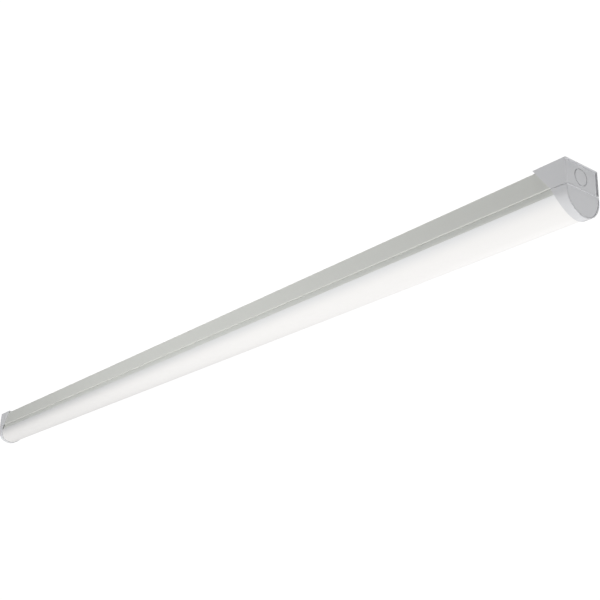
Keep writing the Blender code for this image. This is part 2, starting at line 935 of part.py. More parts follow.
def place_screws(name, mesh, places, z, finish, parent, turn=0.0):
    """Equal screws that share one mesh, each with a slot across its head, turned about X by turn."""
    for number, (x, y) in enumerate(places, 1):
        label = name if len(places) == 1 else "%s_%d" % (name, number)
        made = object_of_mesh(label, mesh, finish, parent, (x, y, z))
        made.rotation_euler = (turn, 0.0, 0.0)
        slot = bmesh.new()
        block(slot, (-2 * screw_head_radius, -screw_slot_width / 2, -screw_head_height - cut_overrun),
              (2 * screw_head_radius, screw_slot_width / 2, -screw_head_height + screw_slot_depth))
        tool = object_from(label + "_slot", slot, None, parent, (x, y, z))
        tool.rotation_euler = (turn, 0.0, 0.0)
        boolean(made, tool, "DIFFERENCE")


def screw_mesh(name, grip):
    shape = pan_screw_mesh(grip)
    bmesh.ops.recalc_face_normals(shape, faces=shape.faces[:])
    mesh = bpy.data.meshes.new(name)
    shape.to_mesh(mesh)
    shape.free()
    return mesh


def terminal_screw(parent):
    grip = terminal_foot_thickness + seat_gap + spine_sheet
    mesh = screw_mesh("terminal_screw", grip - screw_tip_stand_out)
    z = terminal_top - terminal_foot_thickness - seat_gap
    place_screws("terminal_screw", mesh, [(x, 0.0) for x in terminal_screw_places()], z, zinc(), parent)


def stud(name, x, y, base, direction, parent):
    """A weld stud: a disc seated on the sheet and a plain shank away from it."""
    disc = base + direction * stud_weld_height
    end = base + direction * stud_length
    profile = [(stud_weld_radius, base), (stud_weld_radius, disc), (stud_radius, disc), (stud_radius, end)]
    if direction < 0:
        profile.reverse()
    made = object_from(name, turned(bmesh.new(), profile, (x, y), small_round_steps), zinc(), parent)
    return made


def flange_nut(name, x, y, base, direction, parent):
    """A hexagon nut on a round flange, bored to clear its stud."""
    hexagon = nut_flats / math.sqrt(3)
    flange_end = base + direction * nut_flange_height
    end = base + direction * nut_height
    low, high = sorted((base, flange_end))
    shape = turned(bmesh.new(), [(nut_flange_radius, low), (nut_flange_radius, high)], (x, y), round_steps)
    made = object_from(name, shape, zinc(), parent)
    low, high = sorted((flange_end - direction * join_depth, end))
    body = turned(bmesh.new(), [(hexagon, low), (hexagon, high)], (x, y), hexagon_sides)
    join(made, name + "_hexagon", body)
    low, high = sorted((base - direction * cut_overrun, end + direction * cut_overrun))
    bore = turned(bmesh.new(), [(stud_radius + seat_gap, low), (stud_radius + seat_gap, high)],
                  (x, y), small_round_steps)
    cut(made, name + "_bore", bore)
    return made


# Gear tray

def tray_outline():
    middle = tray_sheet / 2
    leg = tray_half - 2 * middle - hem_gap - middle
    return mirrored([
        (tray_half - tray_fold_width, tray_top - middle),
        (tray_half - middle, tray_top - middle),
        (tray_half - middle, hem_bottom + middle),
        (leg, hem_bottom + middle),
        (leg, web_under + middle),
    ])


def board_length():
    room = 2 * spine_end - 2 * board_end_margin - (board_count - 1) * board_spacing
    return room / board_count


def board_centres():
    pitch = board_length() + board_spacing
    first = -pitch * (board_count - 1) / 2
    return [first + pitch * number for number in range(board_count)]


def board_screw_places():
    reach = board_length() / 2 - board_screw_from_end
    return [(centre + end * reach, 0.0) for centre in board_centres() for end in (-1, 1)]


def driver_screw_places():
    reach = driver_length / 2 + driver_foot_screw
    return [(driver_centre + end * reach, end * driver_foot_screw_offset) for end in (-1, 1)]


def gear_tray(parent):
    hem = (hem_gap + tray_sheet) / 2
    bends = [tray_fold_bend, hem, hem, web_bend]
    outline = sheet_outline(tray_outline(), bends + bends[::-1], tray_sheet, bend_steps)
    made = object_from("gear_tray", prism_along_x(outline, -spine_end, spine_end), tray_paint(), parent)
    for number, side in enumerate((-1, 1), 1):
        tab = prism_along_y(tab_outline(web_top + tab_thickness / 2 - join_depth, 1),
                            -tab_width / 2, tab_width / 2)
        bmesh.ops.translate(tab, verts=tab.verts[:], vec=(side * strap_place, 0.0, 0.0))
        join(made, "tray_strap_tab_%d" % number, tab)

    holes = bmesh.new()
    for centre in board_screw_places() + driver_screw_places():
        screw_hole(holes, centre, web_under, web_top)
    profile = [(lead_hole_radius, web_under - cut_overrun), (lead_hole_radius, web_top + cut_overrun)]
    turned(holes, profile, (lead_hole_place, lead_hole_offset), small_round_steps)
    cut(made, "gear_tray_holes", holes)
    return made


# Led boards

def led_board_mesh():
    """One bare board, its middle at X zero."""
    half = board_length() / 2
    shape = bmesh.new()
    block(shape, (-half, -board_width / 2, board_under), (half, board_width / 2, board_top))
    bmesh.ops.recalc_face_normals(shape, faces=shape.faces[:])
    mesh = bpy.data.meshes.new("led_board")
    shape.to_mesh(mesh)
    shape.free()
    return mesh


def led_packages():
    """A board's led packages and the connector at each of its ends."""
    half = board_length() / 2
    shape = bmesh.new()
    for x in np.linspace(-half + led_edge_margin, half - led_edge_margin, leds_per_board):
        block(shape, (x - led_length / 2, -led_width / 2, board_under - led_height),
              (x + led_length / 2, led_width / 2, board_under + join_depth))
    for end in (-1, 1):
        x = end * (half - connector_from_end)
        block(shape, (x - connector_length / 2, connector_offset - connector_width / 2,
                      board_under - connector_height),
              (x + connector_length / 2, connector_offset + connector_width / 2, board_under + join_depth))
    return shape


def led_boards(parent):
    mesh = led_board_mesh()
    reach = board_length() / 2 - board_screw_from_end
    for number, centre in enumerate(board_centres(), 1):
        made = object_of_mesh("led_board_%d" % number, mesh, board_enamel(), parent, (centre, 0.0, 0.0))
        packages = object_from("led_packages_%d" % number, led_packages(), None, parent, (centre, 0.0, 0.0))
        boolean(made, packages, "UNION")
        holes = bmesh.new()
        for end in (-1, 1):
            screw_hole(holes, (end * reach, 0.0), board_under, board_top)
        tool = object_from("led_board_holes_%d" % number, holes, None, parent, (centre, 0.0, 0.0))
        boolean(made, tool, "DIFFERENCE")


def board_screws(parent):
    grip = board_thickness + seat_gap + tray_sheet
    mesh = screw_mesh("board_screw", grip - screw_tip_stand_out)
    place_screws("board_screw", mesh, board_screw_places(), board_under - seat_gap, zinc(), parent)


# Led driver

def driver_base(parent):
    """The driver's open trough, with a foot at each end."""
    half = driver_width / 2
    under_lid = driver_top - driver_lid_wall - seat_gap
    shape = bmesh.new()
    block(shape, (driver_left, -half, driver_under), (driver_right, half, under_lid))
    made = object_from("driver_base", shape, driver_plastic(), parent)
    feet = bmesh.new()
    for end, edge in ((-1, driver_left), (1, driver_right)):
        low, high = sorted((edge - end * join_depth, edge + end * driver_foot_length))
        block(feet, (low, -half, driver_under), (high, half, driver_under + 2 * driver_wall))
    join(made, "driver_base_feet", feet)
    hollow = bmesh.new()
    block(hollow, (driver_left + driver_wall, -half + driver_wall, driver_under + driver_wall),
          (driver_right - driver_wall, half - driver_wall, driver_top + cut_overrun))
    cut(made, "driver_base_hollow", hollow)
    step = bmesh.new()
    loft_step = driver_top - driver_lid_skirt - seat_gap
    inner = half - driver_lid_wall - seat_gap
    for side in (-1, 1):
        low, high = sorted((side * inner, side * (half + cut_overrun)))
        block(step, (driver_left - cut_overrun, low, loft_step),
              (driver_right + cut_overrun, high, driver_top + cut_overrun))
    cut(made, "driver_base_step", step)
    holes = bmesh.new()
    for centre in driver_screw_places():
        screw_hole(holes, centre, driver_under, driver_under + 2 * driver_wall)
    cut(made, "driver_base_holes", holes)
    return made


def driver_lid(parent):
    """The driver's folded cover, a top with a skirt down each side."""
    half = driver_width / 2 - driver_lid_wall / 2
    top = driver_top - driver_lid_wall / 2
    edge = driver_top - driver_lid_skirt
    path = [(half, edge), (half, top), (-half, top), (-half, edge)]
    outline = sheet_outline(path, [driver_lid_wall, driver_lid_wall], driver_lid_wall, small_bend_steps)
    shape = prism_along_x(outline, driver_left, driver_right)
    return object_from("driver_lid", shape, driver_plastic(), parent)


def driver_board(parent):
    """The circuit board inside the driver, with its transformer, capacitors and choke."""
    bottom = driver_under + driver_wall + driver_board_rise
    top = bottom + driver_board_thickness
    half = driver_width / 2 - driver_wall - seat_gap
    shape = bmesh.new()
    block(shape, (driver_left + driver_wall + seat_gap, -half, bottom),
          (driver_right - driver_wall - seat_gap, half, top))
    made = object_from("driver_board", shape, circuit_laminate(), parent)
    parts = bmesh.new()
    base = top - join_depth
    block(parts, (driver_centre - transformer_length / 2, -transformer_width / 2, base),
          (driver_centre + transformer_length / 2, transformer_width / 2, top + transformer_height))
    for x, radius, height in (
        (driver_centre + driver_length * capacitor_place_share, capacitor_radius, capacitor_height),
        (driver_centre - driver_length * capacitor_place_share, capacitor_radius, capacitor_height),
        (driver_centre + driver_length * choke_place_share, choke_radius, choke_height),
    ):
        turned(parts, [(radius, base), (radius, top + height)], (x, 0.0), small_round_steps)
    leg = driver_leg_width / 2
    foot = driver_under + driver_wall + seat_gap
    for end in (-1, 1):
        for side in (-1, 1):
            x = driver_centre + end * (driver_length / 2 - driver_leg_from_end)
            y = side * (half - driver_leg_from_side)
            block(parts, (x - leg, y - leg, foot), (x + leg, y + leg, bottom + join_depth))
    join(made, "driver_board_parts", parts)
    return made


def driver_terminal(name, end, poles, parent):
    """A wire terminal on a driver's foot, between the case and the foot's screw."""
    edge = driver_right if end > 0 else driver_left
    start = edge + end * seat_gap
    stop = start + end * driver_terminal_length
    low, high = sorted((start, stop))
    base = driver_under + 2 * driver_wall + seat_gap
    shape = bmesh.new()
    block(shape, (low, -driver_terminal_width / 2, base),
          (high, driver_terminal_width / 2, base + driver_terminal_height))
    made = object_from(name, shape, terminal_plastic(), parent)
    entries = bmesh.new()
    inside = stop - end * driver_entry_depth
    for y in poles:
        wire_entry(entries, inside, stop + end * cut_overrun, y, driver_wire_height())
    cut(made, name + "_entries", entries)
    return made


def driver_screws(parent):
    grip = tray_sheet + seat_gap + 2 * driver_wall
    mesh = screw_mesh("driver_screw", grip - screw_tip_stand_out)
    head = driver_under + 2 * driver_wall + seat_gap
    place_screws("driver_screw", mesh, driver_screw_places(), head, zinc(), parent, math.pi)


# Spring clips

def spring_clip_mesh():
    """A folded spring strip about its own centre: a base on the tray and a leg for each spine lip."""
    half_t = clip_thickness / 2
    shoulder = lip_inner - clearance_at_clip - half_t
    base = seat_gap + half_t
    path = mirrored([
        (shoulder - clip_tip_inset, clip_height),
        (shoulder, clip_shoulder_rise),
        (clip_base_width / 2, base),
    ])
    outline = sheet_outline(path, [clip_bend] * (len(path) - 2), clip_thickness, small_bend_steps)
    shape = prism_along_x(outline, -clip_width / 2, clip_width / 2)
    bmesh.ops.recalc_face_normals(shape, faces=shape.faces[:])
    mesh = bpy.data.meshes.new("tray_clip")
    shape.to_mesh(mesh)
    shape.free()
    return mesh


def spring_clips(parent):
    mesh = spring_clip_mesh()
    outer = spine_end - clip_from_end
    inner = clip_from_driver + driver_foot_length - driver_left
    for number, x in enumerate([-outer, -inner, inner, outer], 1):
        object_of_mesh("tray_clip_%d" % number, mesh, spring_steel(), parent, (x, 0.0, web_top))


# Hanging straps

def hanging_strap(name, x, parent):
    """A webbing strap folded into a stack between the spine's tab and the tray's tab."""
    reach = tab_thickness / 2 + seat_gap + strap_thickness / 2
    top = spine_ceiling - tab_height
    bottom = web_top + tab_height
    fold = strap_fold_length
    overlap = tab_height * strap_overlap_share
    path = [(x + reach, top + overlap), (x + reach, top - strap_fold_pitch / 2)]
    step = (top - bottom - strap_fold_pitch) / strap_folds
    for number in range(strap_folds):
        z = top - strap_fold_pitch / 2 - step / 2 - step * number
        near, far = (x - fold / 2, x + fold / 2) if number % 2 else (x + fold / 2, x - fold / 2)
        path += [(near, z + step * strap_slope_share), (far, z - step * strap_slope_share)]
    path += [(x + reach, bottom + strap_fold_pitch / 2), (x + reach, bottom - overlap)]
    outline = sheet_outline(path, [strap_bend] * (len(path) - 2), strap_thickness, fold_steps)
    shape = prism_along_y(outline, -strap_width / 2, strap_width / 2)
    return object_from(name, shape, strap_nylon(), parent)


# Diffuser

def diffuser_outline():
    outer = cap_half - bowl_wall - seat_gap
    inner = outer - diffuser_wall
    centre = -bowl_centre_drop
    top = hem_bottom - seat_gap
    leg_inner = tray_half - 2 * tray_sheet - hem_gap
    hook_out = leg_inner - seat_gap
    hook_in = hook_out - hook_wall
    ledge = top - diffuser_wall
    start = math.asin((centre - top + diffuser_edge_round) / outer)
    stop = math.asin((centre - ledge) / inner)
    half = arc((0.0, centre), outer, -math.pi / 2, -start, bowl_steps // 2)
    half.append((math.sqrt(outer ** 2 - (centre - top) ** 2) - diffuser_edge_round, top))
    half += [
        (hook_out, top),
        (hook_out, top + hook_rise * hook_straight_share),
        (hook_out + hook_bead, top + hook_rise * hook_bead_share),
        (hook_out - hook_wall * hook_taper_share, top + hook_rise),
        (hook_in + hook_wall * hook_taper_share, top + hook_rise),
        (hook_in, top + hook_rise * hook_bead_share),
        (hook_in, ledge),
    ]
    half += arc((0.0, centre), inner, -stop, -math.pi / 2, bowl_steps // 2)
    outer_half = half[:]
    other = [(-y, z) for y, z in reversed(outer_half[1:-1])]
    return outer_half, other


def diffuser(parent):
    """The opal cover: a half-round wall with an inward ledge and an upright hook along each edge."""
    right, left = diffuser_outline()
    outline = right + left
    made = object_from("diffuser", prism_along_x(outline, -spine_end, spine_end), opal_plastic(), parent)
    return made


# Leads

def rounded_route(points):
    """Points along straight runs between the given corners, each corner eased by a short parabola."""
    corners = [Vector(point) for point in points]
    route = [corners[0]]
    for before, corner, after in zip(corners, corners[1:], corners[2:]):
        ease = min(lead_bend, (before - corner).length / 2, (after - corner).length / 2)
        start = corner + (before - corner).normalized() * ease
        stop = corner + (after - corner).normalized() * ease
        for step in range(lead_bend_steps + 1):
            t = step / lead_bend_steps
            route.append(start * (1 - t) ** 2 + corner * 2 * t * (1 - t) + stop * t ** 2)
    route.append(corners[-1])
    kept = route[:1]
    for point in route[1:]:
        if (point - kept[-1]).length > seat_gap / 2:
            kept.append(point)
    return kept


def swept(shape, route, radius, sides):
    """Adds a round tube with closed ends along a route, turning its section no more than the route does."""
    points = [Vector(point) for point in route]
    tangents = [(after - before).normalized()
                for before, after in zip([points[0]] + points[:-1], points[1:] + [points[-1]])]
    side = tangents[0].orthogonal().normalized()
    rings = []
    for point, tangent in zip(points, tangents):
        side = (side - tangent * side.dot(tangent)).normalized()
        other = tangent.cross(side)
        angles = [2 * math.pi * step / sides for step in range(sides)]
        rings.append([point + (side * math.cos(a) + other * math.sin(a)) * radius for a in angles])
    return loft(shape, rings)


def lead(name, points, colour, parent):
    """An insulated wire along a smooth curve through its route's points."""
    shape = swept(bmesh.new(), rounded_route(points), lead_radius, lead_sides)
    return object_from(name, shape, material("lead " + name, colour, lead_roughness), parent)


def ring_tag(made, x, y, low):
    """Joins a flat ring tag to a lead's end, bored to clear its stud."""
    tag = tube_ring(bmesh.new(), [
        (stud_radius + seat_gap, low), (tag_radius, low),
        (tag_radius, low + tag_thickness), (stud_radius + seat_gap, low + tag_thickness),
    ], (x, y), small_round_steps)
    join(made, made.name + "_tag", tag)


def wire_height():
    return terminal_top - wire_entry_drop


def driver_wire_height():
    return driver_under + 2 * driver_wall + seat_gap + driver_terminal_height - driver_wire_drop


def driver_wire_end(end):
    """Where a lead stops inside a driver terminal, and where it leaves the terminal."""
    edge = driver_right if end > 0 else driver_left
    face = edge + end * (seat_gap + driver_terminal_length)
    return face - end * lead_into_driver, face + end * lead_clear_of_driver


def mains_leads(parent):
    """The live and neutral leads between the terminal block and the driver's input."""
    start = terminal_from_centre + lead_into_block
    leave = terminal_from_centre - lead_clear_of_block
    stop, arrive = driver_wire_end(1)
    top, bottom = wire_height(), driver_wire_height()
    middle = (leave + arrive) / 2
    room = (leave - arrive) * lead_bow_spread_share
    high, low = (top + (bottom - top) * share for share in lead_drop_shares)
    for pole, side in (("live", -1), ("neutral", 1)):
        lead(pole + "_lead", [
            (start, side * pole_pitch, top),
            (leave, side * pole_pitch, top),
            (middle + room, side * lead_bow, high),
            (middle - room, side * lead_bow, low),
            (arrive, side * driver_pole_pitch / 2, bottom),
            (stop, side * driver_pole_pitch / 2, bottom),
        ], button_colours[pole], parent)


def stud_seat(base, direction):
    """The near face of the tag on a stud, and the nut's seat beyond it."""
    tag = base + direction * (stud_weld_height + seat_gap)
    return tag, tag + direction * (tag_thickness + seat_gap)


def earth_parts(spine_frame, tray_frame):
    """A stud and nut on the spine and on the tray, with the earth leads that end on them."""
    spine_base = spine_ceiling - seat_gap
    tray_base = web_top + seat_gap
    spine_tag, spine_seat = stud_seat(spine_base, -1)
    tray_tag, tray_seat = stud_seat(tray_base, 1)
    stud("spine_earth_stud", spine_stud_from_centre, 0.0, spine_base, -1, spine_frame)
    flange_nut("spine_earth_nut", spine_stud_from_centre, 0.0, spine_seat, -1, spine_frame)
    stud("tray_earth_stud", tray_stud_from_centre, 0.0, tray_base, 1, tray_frame)
    flange_nut("tray_earth_nut", tray_stud_from_centre, 0.0, tray_seat, 1, tray_frame)

    top = wire_height()
    inside = lead_into_block
    block_end = terminal_from_centre + terminal_length
    foot_end = block_end + terminal_foot_length
    middle = spine_tag - tag_thickness / 2
    edge = spine_stud_from_centre - tag_radius
    made = lead("spine_earth_lead", [
        (block_end - inside, 0.0, top),
        (foot_end, 0.0, top),
        ((foot_end + edge) / 2, 0.0, (top + middle) / 2),
        (edge - lead_radius, 0.0, middle),
        (edge + lead_radius / 2, 0.0, middle),
    ], button_colours["earth"], spine_frame)
    ring_tag(made, spine_stud_from_centre, 0.0, spine_tag - tag_thickness)

    middle = tray_tag + tag_thickness / 2
    edge = tray_stud_from_centre + tag_radius
    leave = terminal_from_centre - lead_clear_of_block
    high, low = (top + (middle - top) * share for share in earth_drop_shares)
    made = lead("tray_earth_lead", [
        (terminal_from_centre + inside, 0.0, top),
        (leave, 0.0, top - lead_radius / 2),
        (leave - earth_swing, 0.0, high),
        (leave - earth_return, 0.0, low),
        (edge + earth_swing, 0.0, middle + lead_radius / 2),
        (edge + lead_radius, 0.0, middle),
        (edge - lead_radius / 2, 0.0, middle),
    ], button_colours["earth"], spine_frame)
    ring_tag(made, tray_stud_from_centre, 0.0, tray_tag)


def output_leads(parent):
    """The pair from the driver's output, down through the tray to the second board's outer connector."""
    stop, leave = driver_wire_end(-1)
    height = driver_wire_height()
    below = board_under - connector_height / 2
    connector = board_centres()[1] - board_length() / 2 + connector_from_end
    face = connector_offset + connector_width / 2 + seat_gap
    hole = lead_hole_place
    for name, side, colour in (("output_lead_positive", 1, red_lead_colour),
                               ("output_lead_negative", -1, black_lead_colour)):
        across = lead_hole_offset + side * lead_pitch_at_connector / 2
        end = connector - side * lead_pitch_at_connector / 2
        lead(name, [
            (stop, side * driver_pole_pitch / 2, height),
            (leave, side * driver_pole_pitch / 2, height),
            (hole + hole_passage, across, web_top + hole_approach),
            (hole, across, web_under),
            (hole - hole_passage, across, below),
            (end + hole_passage, across, below),
            (end, face + connector_approach, below),
            (end, face, below),
        ], colour, parent)


def board_links(parent):
    """A short link between each pair of neighbouring boards' connectors."""
    height = board_under - connector_height / 2
    reach = board_length() / 2 - connector_from_end + connector_length / 2 + seat_gap
    centres = board_centres()
    for number, (left, right) in enumerate(zip(centres, centres[1:]), 1):
        start, stop = left + reach, right - reach
        lead("board_link_%d" % number, [
            (start, connector_offset, height),
            ((start + stop) / 2, connector_offset, height - link_sag),
            (stop, connector_offset, height),
        ], strap_colour, parent)


def round_off_shading():
    """Smooth shading on every piece and tool, with each piece's edges split where they are sharp."""
    for made in bpy.data.objects:
        if made.type != "MESH":
            continue
        made.data.shade_smooth()
        if made.hide_render:
            continue
        split = made.modifiers.new("sharp_edges", "EDGE_SPLIT")
        split.split_angle = sharp_angle
        split.use_edge_sharp = False


def main():
    clear_scene()
    spine_frame, tray_frame = body_frames()
    spine_channel(spine_frame)
    cable_grommet(spine_frame)
    terminal_block(spine_frame)
    terminal_screw(spine_frame)
    for pole, y in pole_places():
        terminal_button(pole, y, spine_frame)
    gear_tray(tray_frame)
    led_boards(tray_frame)
    board_screws(tray_frame)
    driver_base(tray_frame)
    driver_lid(tray_frame)
    driver_board(tray_frame)
    poles = (-driver_pole_pitch / 2, driver_pole_pitch / 2)
    driver_terminal("driver_input", 1, poles, tray_frame)
    driver_terminal("driver_output", -1, poles, tray_frame)
    driver_screws(tray_frame)
    spring_clips(tray_frame)
    diffuser(tray_frame)
    for side, name in ((1, "near"), (-1, "far")):
        spine_cap(side, name, spine_frame)
        diffuser_cap(side, name, tray_frame)
        hanging_strap(name + "_strap", side * strap_place, spine_frame)
    mains_leads(spine_frame)
    earth_parts(spine_frame, tray_frame)
    output_leads(tray_frame)
    board_links(tray_frame)
    round_off_shading()


main()
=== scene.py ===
"""Six-foot led batten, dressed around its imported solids.

Metres, +Z up, X along the batten with the near end at +X, Y across it. The ceiling plane is at z = 0.
"""

import json
import math

import bmesh
import bpy
import numpy as np
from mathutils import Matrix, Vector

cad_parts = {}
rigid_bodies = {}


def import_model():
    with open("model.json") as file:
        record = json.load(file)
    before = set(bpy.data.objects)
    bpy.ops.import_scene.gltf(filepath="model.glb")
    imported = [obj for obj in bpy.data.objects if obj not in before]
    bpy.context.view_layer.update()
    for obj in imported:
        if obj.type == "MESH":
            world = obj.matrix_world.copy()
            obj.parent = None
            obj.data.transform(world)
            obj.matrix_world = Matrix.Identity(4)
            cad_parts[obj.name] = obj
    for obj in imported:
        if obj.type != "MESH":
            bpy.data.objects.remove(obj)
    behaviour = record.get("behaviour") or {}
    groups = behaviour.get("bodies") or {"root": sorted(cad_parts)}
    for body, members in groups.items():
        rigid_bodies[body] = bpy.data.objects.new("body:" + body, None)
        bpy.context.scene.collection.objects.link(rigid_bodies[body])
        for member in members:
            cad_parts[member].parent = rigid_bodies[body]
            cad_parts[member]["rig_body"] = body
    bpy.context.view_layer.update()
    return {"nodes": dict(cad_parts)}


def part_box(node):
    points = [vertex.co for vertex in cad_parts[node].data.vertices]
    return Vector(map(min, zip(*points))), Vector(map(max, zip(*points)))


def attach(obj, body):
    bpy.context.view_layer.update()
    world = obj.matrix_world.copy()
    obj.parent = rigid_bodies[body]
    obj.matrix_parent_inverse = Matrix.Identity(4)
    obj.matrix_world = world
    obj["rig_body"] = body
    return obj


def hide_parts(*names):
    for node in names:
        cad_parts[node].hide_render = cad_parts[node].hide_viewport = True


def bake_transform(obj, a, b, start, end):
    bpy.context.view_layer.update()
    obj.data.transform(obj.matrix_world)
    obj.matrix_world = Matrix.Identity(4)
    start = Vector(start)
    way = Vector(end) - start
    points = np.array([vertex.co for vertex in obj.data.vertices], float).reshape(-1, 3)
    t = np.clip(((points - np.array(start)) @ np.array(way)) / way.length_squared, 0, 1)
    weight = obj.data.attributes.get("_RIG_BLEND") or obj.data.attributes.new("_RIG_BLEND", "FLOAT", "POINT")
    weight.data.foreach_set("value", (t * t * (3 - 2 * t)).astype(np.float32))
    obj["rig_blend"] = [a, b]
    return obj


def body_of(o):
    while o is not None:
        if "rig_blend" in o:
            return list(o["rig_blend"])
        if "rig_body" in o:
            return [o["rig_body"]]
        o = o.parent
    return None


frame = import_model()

# End caps
half_length = 0.9
cap_half = 0.030
cap_height = 0.0345
cap_wall = 0.002
cap_reach = 0.050
reach_at_parting = 0.0235
parting_gap = 0.0003
cap_corner = 0.0009
least_cap_corner = 0.0003
cap_fillet = 0.00045
cap_edge_round = 0.0002
edge_run = 0.0012
inner_ease = 0.0002
recess_depth = 0.0018
bowl_recess_depth = 0.0006
gutter_width = 0.0008
gutter_depth = 0.001
gutter_fade = 0.002
rim_front = 0.0008
rim_root = 0.0014
parting_rim_front = 0.00035
parting_rim_root = 0.0006
parting_ease_share = 0.45
knockout_radius = 0.011
knockout_drop = 0.0172
knockout_groove = 0.0009
knockout_depth = 0.0017
bowl_drop = 0.041
bowl_wall = 0.0016
bowl_reach = 0.0115
bowl_curve_share = 1.5
notch_length = 0.015
notch_width = 0.0014
notch_height = 0.0036

# Spine and tray
spine_top = -0.0024
spine_sheet = 0.0008
spine_bottom = -0.0322
spine_half = 0.0276
spine_bend = 0.0022
lip_inner = 0.0216
lip_bend = 0.0011
spine_end = 0.8959
tray_sheet = 0.0007
tray_half = 0.0264
tray_top = -0.0323
hem_bottom = -0.042
fold_width = 0.0038
fold_bend = 0.0004
hem_gap = 0.0006
hem_height = 0.0032
hem_lean = 0.0005
hem_bend_share = 0.9
web_under = -0.0372
web_bend = 0.0008
lead_hole = (-0.35, 0.0158)
lead_hole_radius = 0.0045

# Raised and pierced places along the spine's back
pad_places = (-0.7, -0.35, 0.0, 0.35, 0.7)
pad_radius = 0.0115
pad_slope = 0.0025
slot_length = 0.016
slot_width = 0.0065
disc_places = (-0.82, -0.15, 0.82)
disc_radius = 0.0105
disc_lift = 0.0004
entry_place = 0.15
entry_radius = 0.010
block_screw_place = 0.092
block_screw_hole = 0.0018
cell_reach = 0.017
cell_steps = 16

# Diffuser
diffuser_outer = 0.0281
diffuser_wall = 0.0015
diffuser_top = -0.0423
hook_out = 0.0241
hook_wall = 0.0012
hook_rise = 0.0039

# Inside
wire_radius = 0.0012
wire_level = -0.0095
driver_wire_level = -0.029
wire_start = 0.0625
block_exit = 0.0532
pole_pitch = 0.0085
driver_pitch = 0.0055
tag_thick = 0.0008
tag_reach = 0.0062
spine_tag_level = -0.0044
tray_tag_level = -0.0353
board_under = -0.0385
board_thick = 0.001
connector_side = 0.0065
connector_inset = 0.0045
connector_half_width = 0.00225
connector_half_height = 0.0015
spine_stud = 0.115
tray_stud = 0.03
stud_gap = 0.0003
nut_rise = 0.002
block_screw_seat = -0.0058
block_screw_shank = 0.0031
board_screw_seat = -0.0388
board_screw_shank = 0.0020
driver_screw_seat = -0.0335
driver_screw_shank = 0.0034
block_ease = 0.0004
case_ease = 0.0005
circuit_ease = 0.00015
strap_places = (-0.56, 0.56)
tab_sheet = 0.0008
tab_rise = 0.005
strap_thick = 0.0008

# Meshes
same_point = 1e-6
edge_angle = 32.0
even_weight = 80
bevel_steps = 3
flat_within = 1.0


def lattice(rows, columns, round_rows=False, round_columns=False):
    """Faces over a grid of points numbered row by row: each joins a point, the next in
    its row, and the two below."""
    row = np.arange(rows if round_rows else rows - 1)[:, None]
    column = np.arange(columns if round_columns else columns - 1)[None, :]
    below = (row + 1) % rows
    beside = (column + 1) % columns
    corners = np.broadcast_arrays(row * columns + column, row * columns + beside,
                                  below * columns + beside, below * columns + column)
    return np.stack(corners, axis=-1).reshape(-1, 4)


def skin(grid, round_rows=False, round_columns=False):
    """A patch over a grid of points, shape (rows, columns, 3)."""
    grid = np.asarray(grid, dtype=float)
    return grid.reshape(-1, 3), lattice(grid.shape[0], grid.shape[1], round_rows, round_columns).tolist()


def lid(loop):
    """A patch of one flat face inside a closed loop of points."""
    loop = np.asarray(loop, dtype=float).reshape(-1, 3)
    return loop, [list(range(len(loop)))]


def mesh_from(name, patches, sharp, merge):
    """One mesh from patches: their points one after the other, doubles merged, faces turned outwards."""
    points = np.concatenate([patch[0] for patch in patches])
    starts = np.cumsum([0] + [len(patch[0]) for patch in patches])
    faces = [[start + corner for corner in face]
             for start, patch in zip(starts, patches) for face in patch[1]]
    mesh = bpy.data.meshes.new(name)
    mesh.from_pydata(points.tolist(), [], faces)
    shape = bmesh.new()
    shape.from_mesh(mesh)
    thinnest = merge / 4
    bmesh.ops.remove_doubles(shape, verts=shape.verts[:], dist=merge)
    bmesh.ops.dissolve_degenerate(shape, edges=shape.edges[:], dist=thinnest)
    bmesh.ops.recalc_face_normals(shape, faces=shape.faces[:])
    shape.to_mesh(mesh)
    shape.free()
    mesh.shade_smooth()
    mesh.set_sharp_from_angle(angle=math.radians(sharp))
    return mesh


def piece(name, patches, finish, body, stands_for=(), sharp=edge_angle, merge=2 * same_point, even=True):
    """A piece of the batten from patches of surface, riding on a body and standing for its solids."""
    mesh = mesh_from(name, patches, sharp, merge)
    mesh.materials.append(finish)
    made = bpy.data.objects.new(name, mesh)
    bpy.context.scene.collection.objects.link(made)
    if even:
        weigh = made.modifiers.new("even_shading", "WEIGHTED_NORMAL")
        weigh.keep_sharp = True
        weigh.weight = even_weight
    if body:
        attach(made, body)
    if stands_for:
        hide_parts(*stands_for)
    return made


def turn_by(vector, angles):
    """A flat vector turned by each angle: (x cos a - y sin a, x sin a + y cos a)."""
    cos, sin = np.cos(angles), np.sin(angles)
    return np.stack([vector[0] * cos - vector[1] * sin, vector[0] * sin + vector[1] * cos], axis=-1)


def folded_sheet(path, bends, thickness, steps=8):
    """Both faces of a folded sheet's section. The middle line runs straight between corners and
    round each corner on an arc of the bend's radius, tangent to both runs; each face lies half a
    thickness along the normal from it."""
    path = np.asarray(path, dtype=float)
    runs = np.diff(path, axis=0)
    runs /= np.linalg.norm(runs, axis=1)[:, None]
    middle, heading = [path[:1]], [runs[:1]]
    for corner, bend, before, after in zip(path[1:-1], bends, runs, runs[1:]):
        turn = math.atan2(before[0] * after[1] - before[1] * after[0], float(before @ after))
        side = np.array([-before[1], before[0]]) * math.copysign(1.0, turn)
        centre = corner - before * bend * math.tan(abs(turn) / 2) + side * bend
        angles = turn * np.linspace(0.0, 1.0, steps + 1)
        middle.append(centre + turn_by(-side * bend, angles))
        heading.append(turn_by(before, angles))
    middle = np.concatenate(middle + [path[-1:]])
    heading = np.concatenate(heading + [runs[-1:]])
    normal = np.stack([-heading[:, 1], heading[:, 0]], axis=-1) * thickness / 2
    return middle + normal, middle - normal


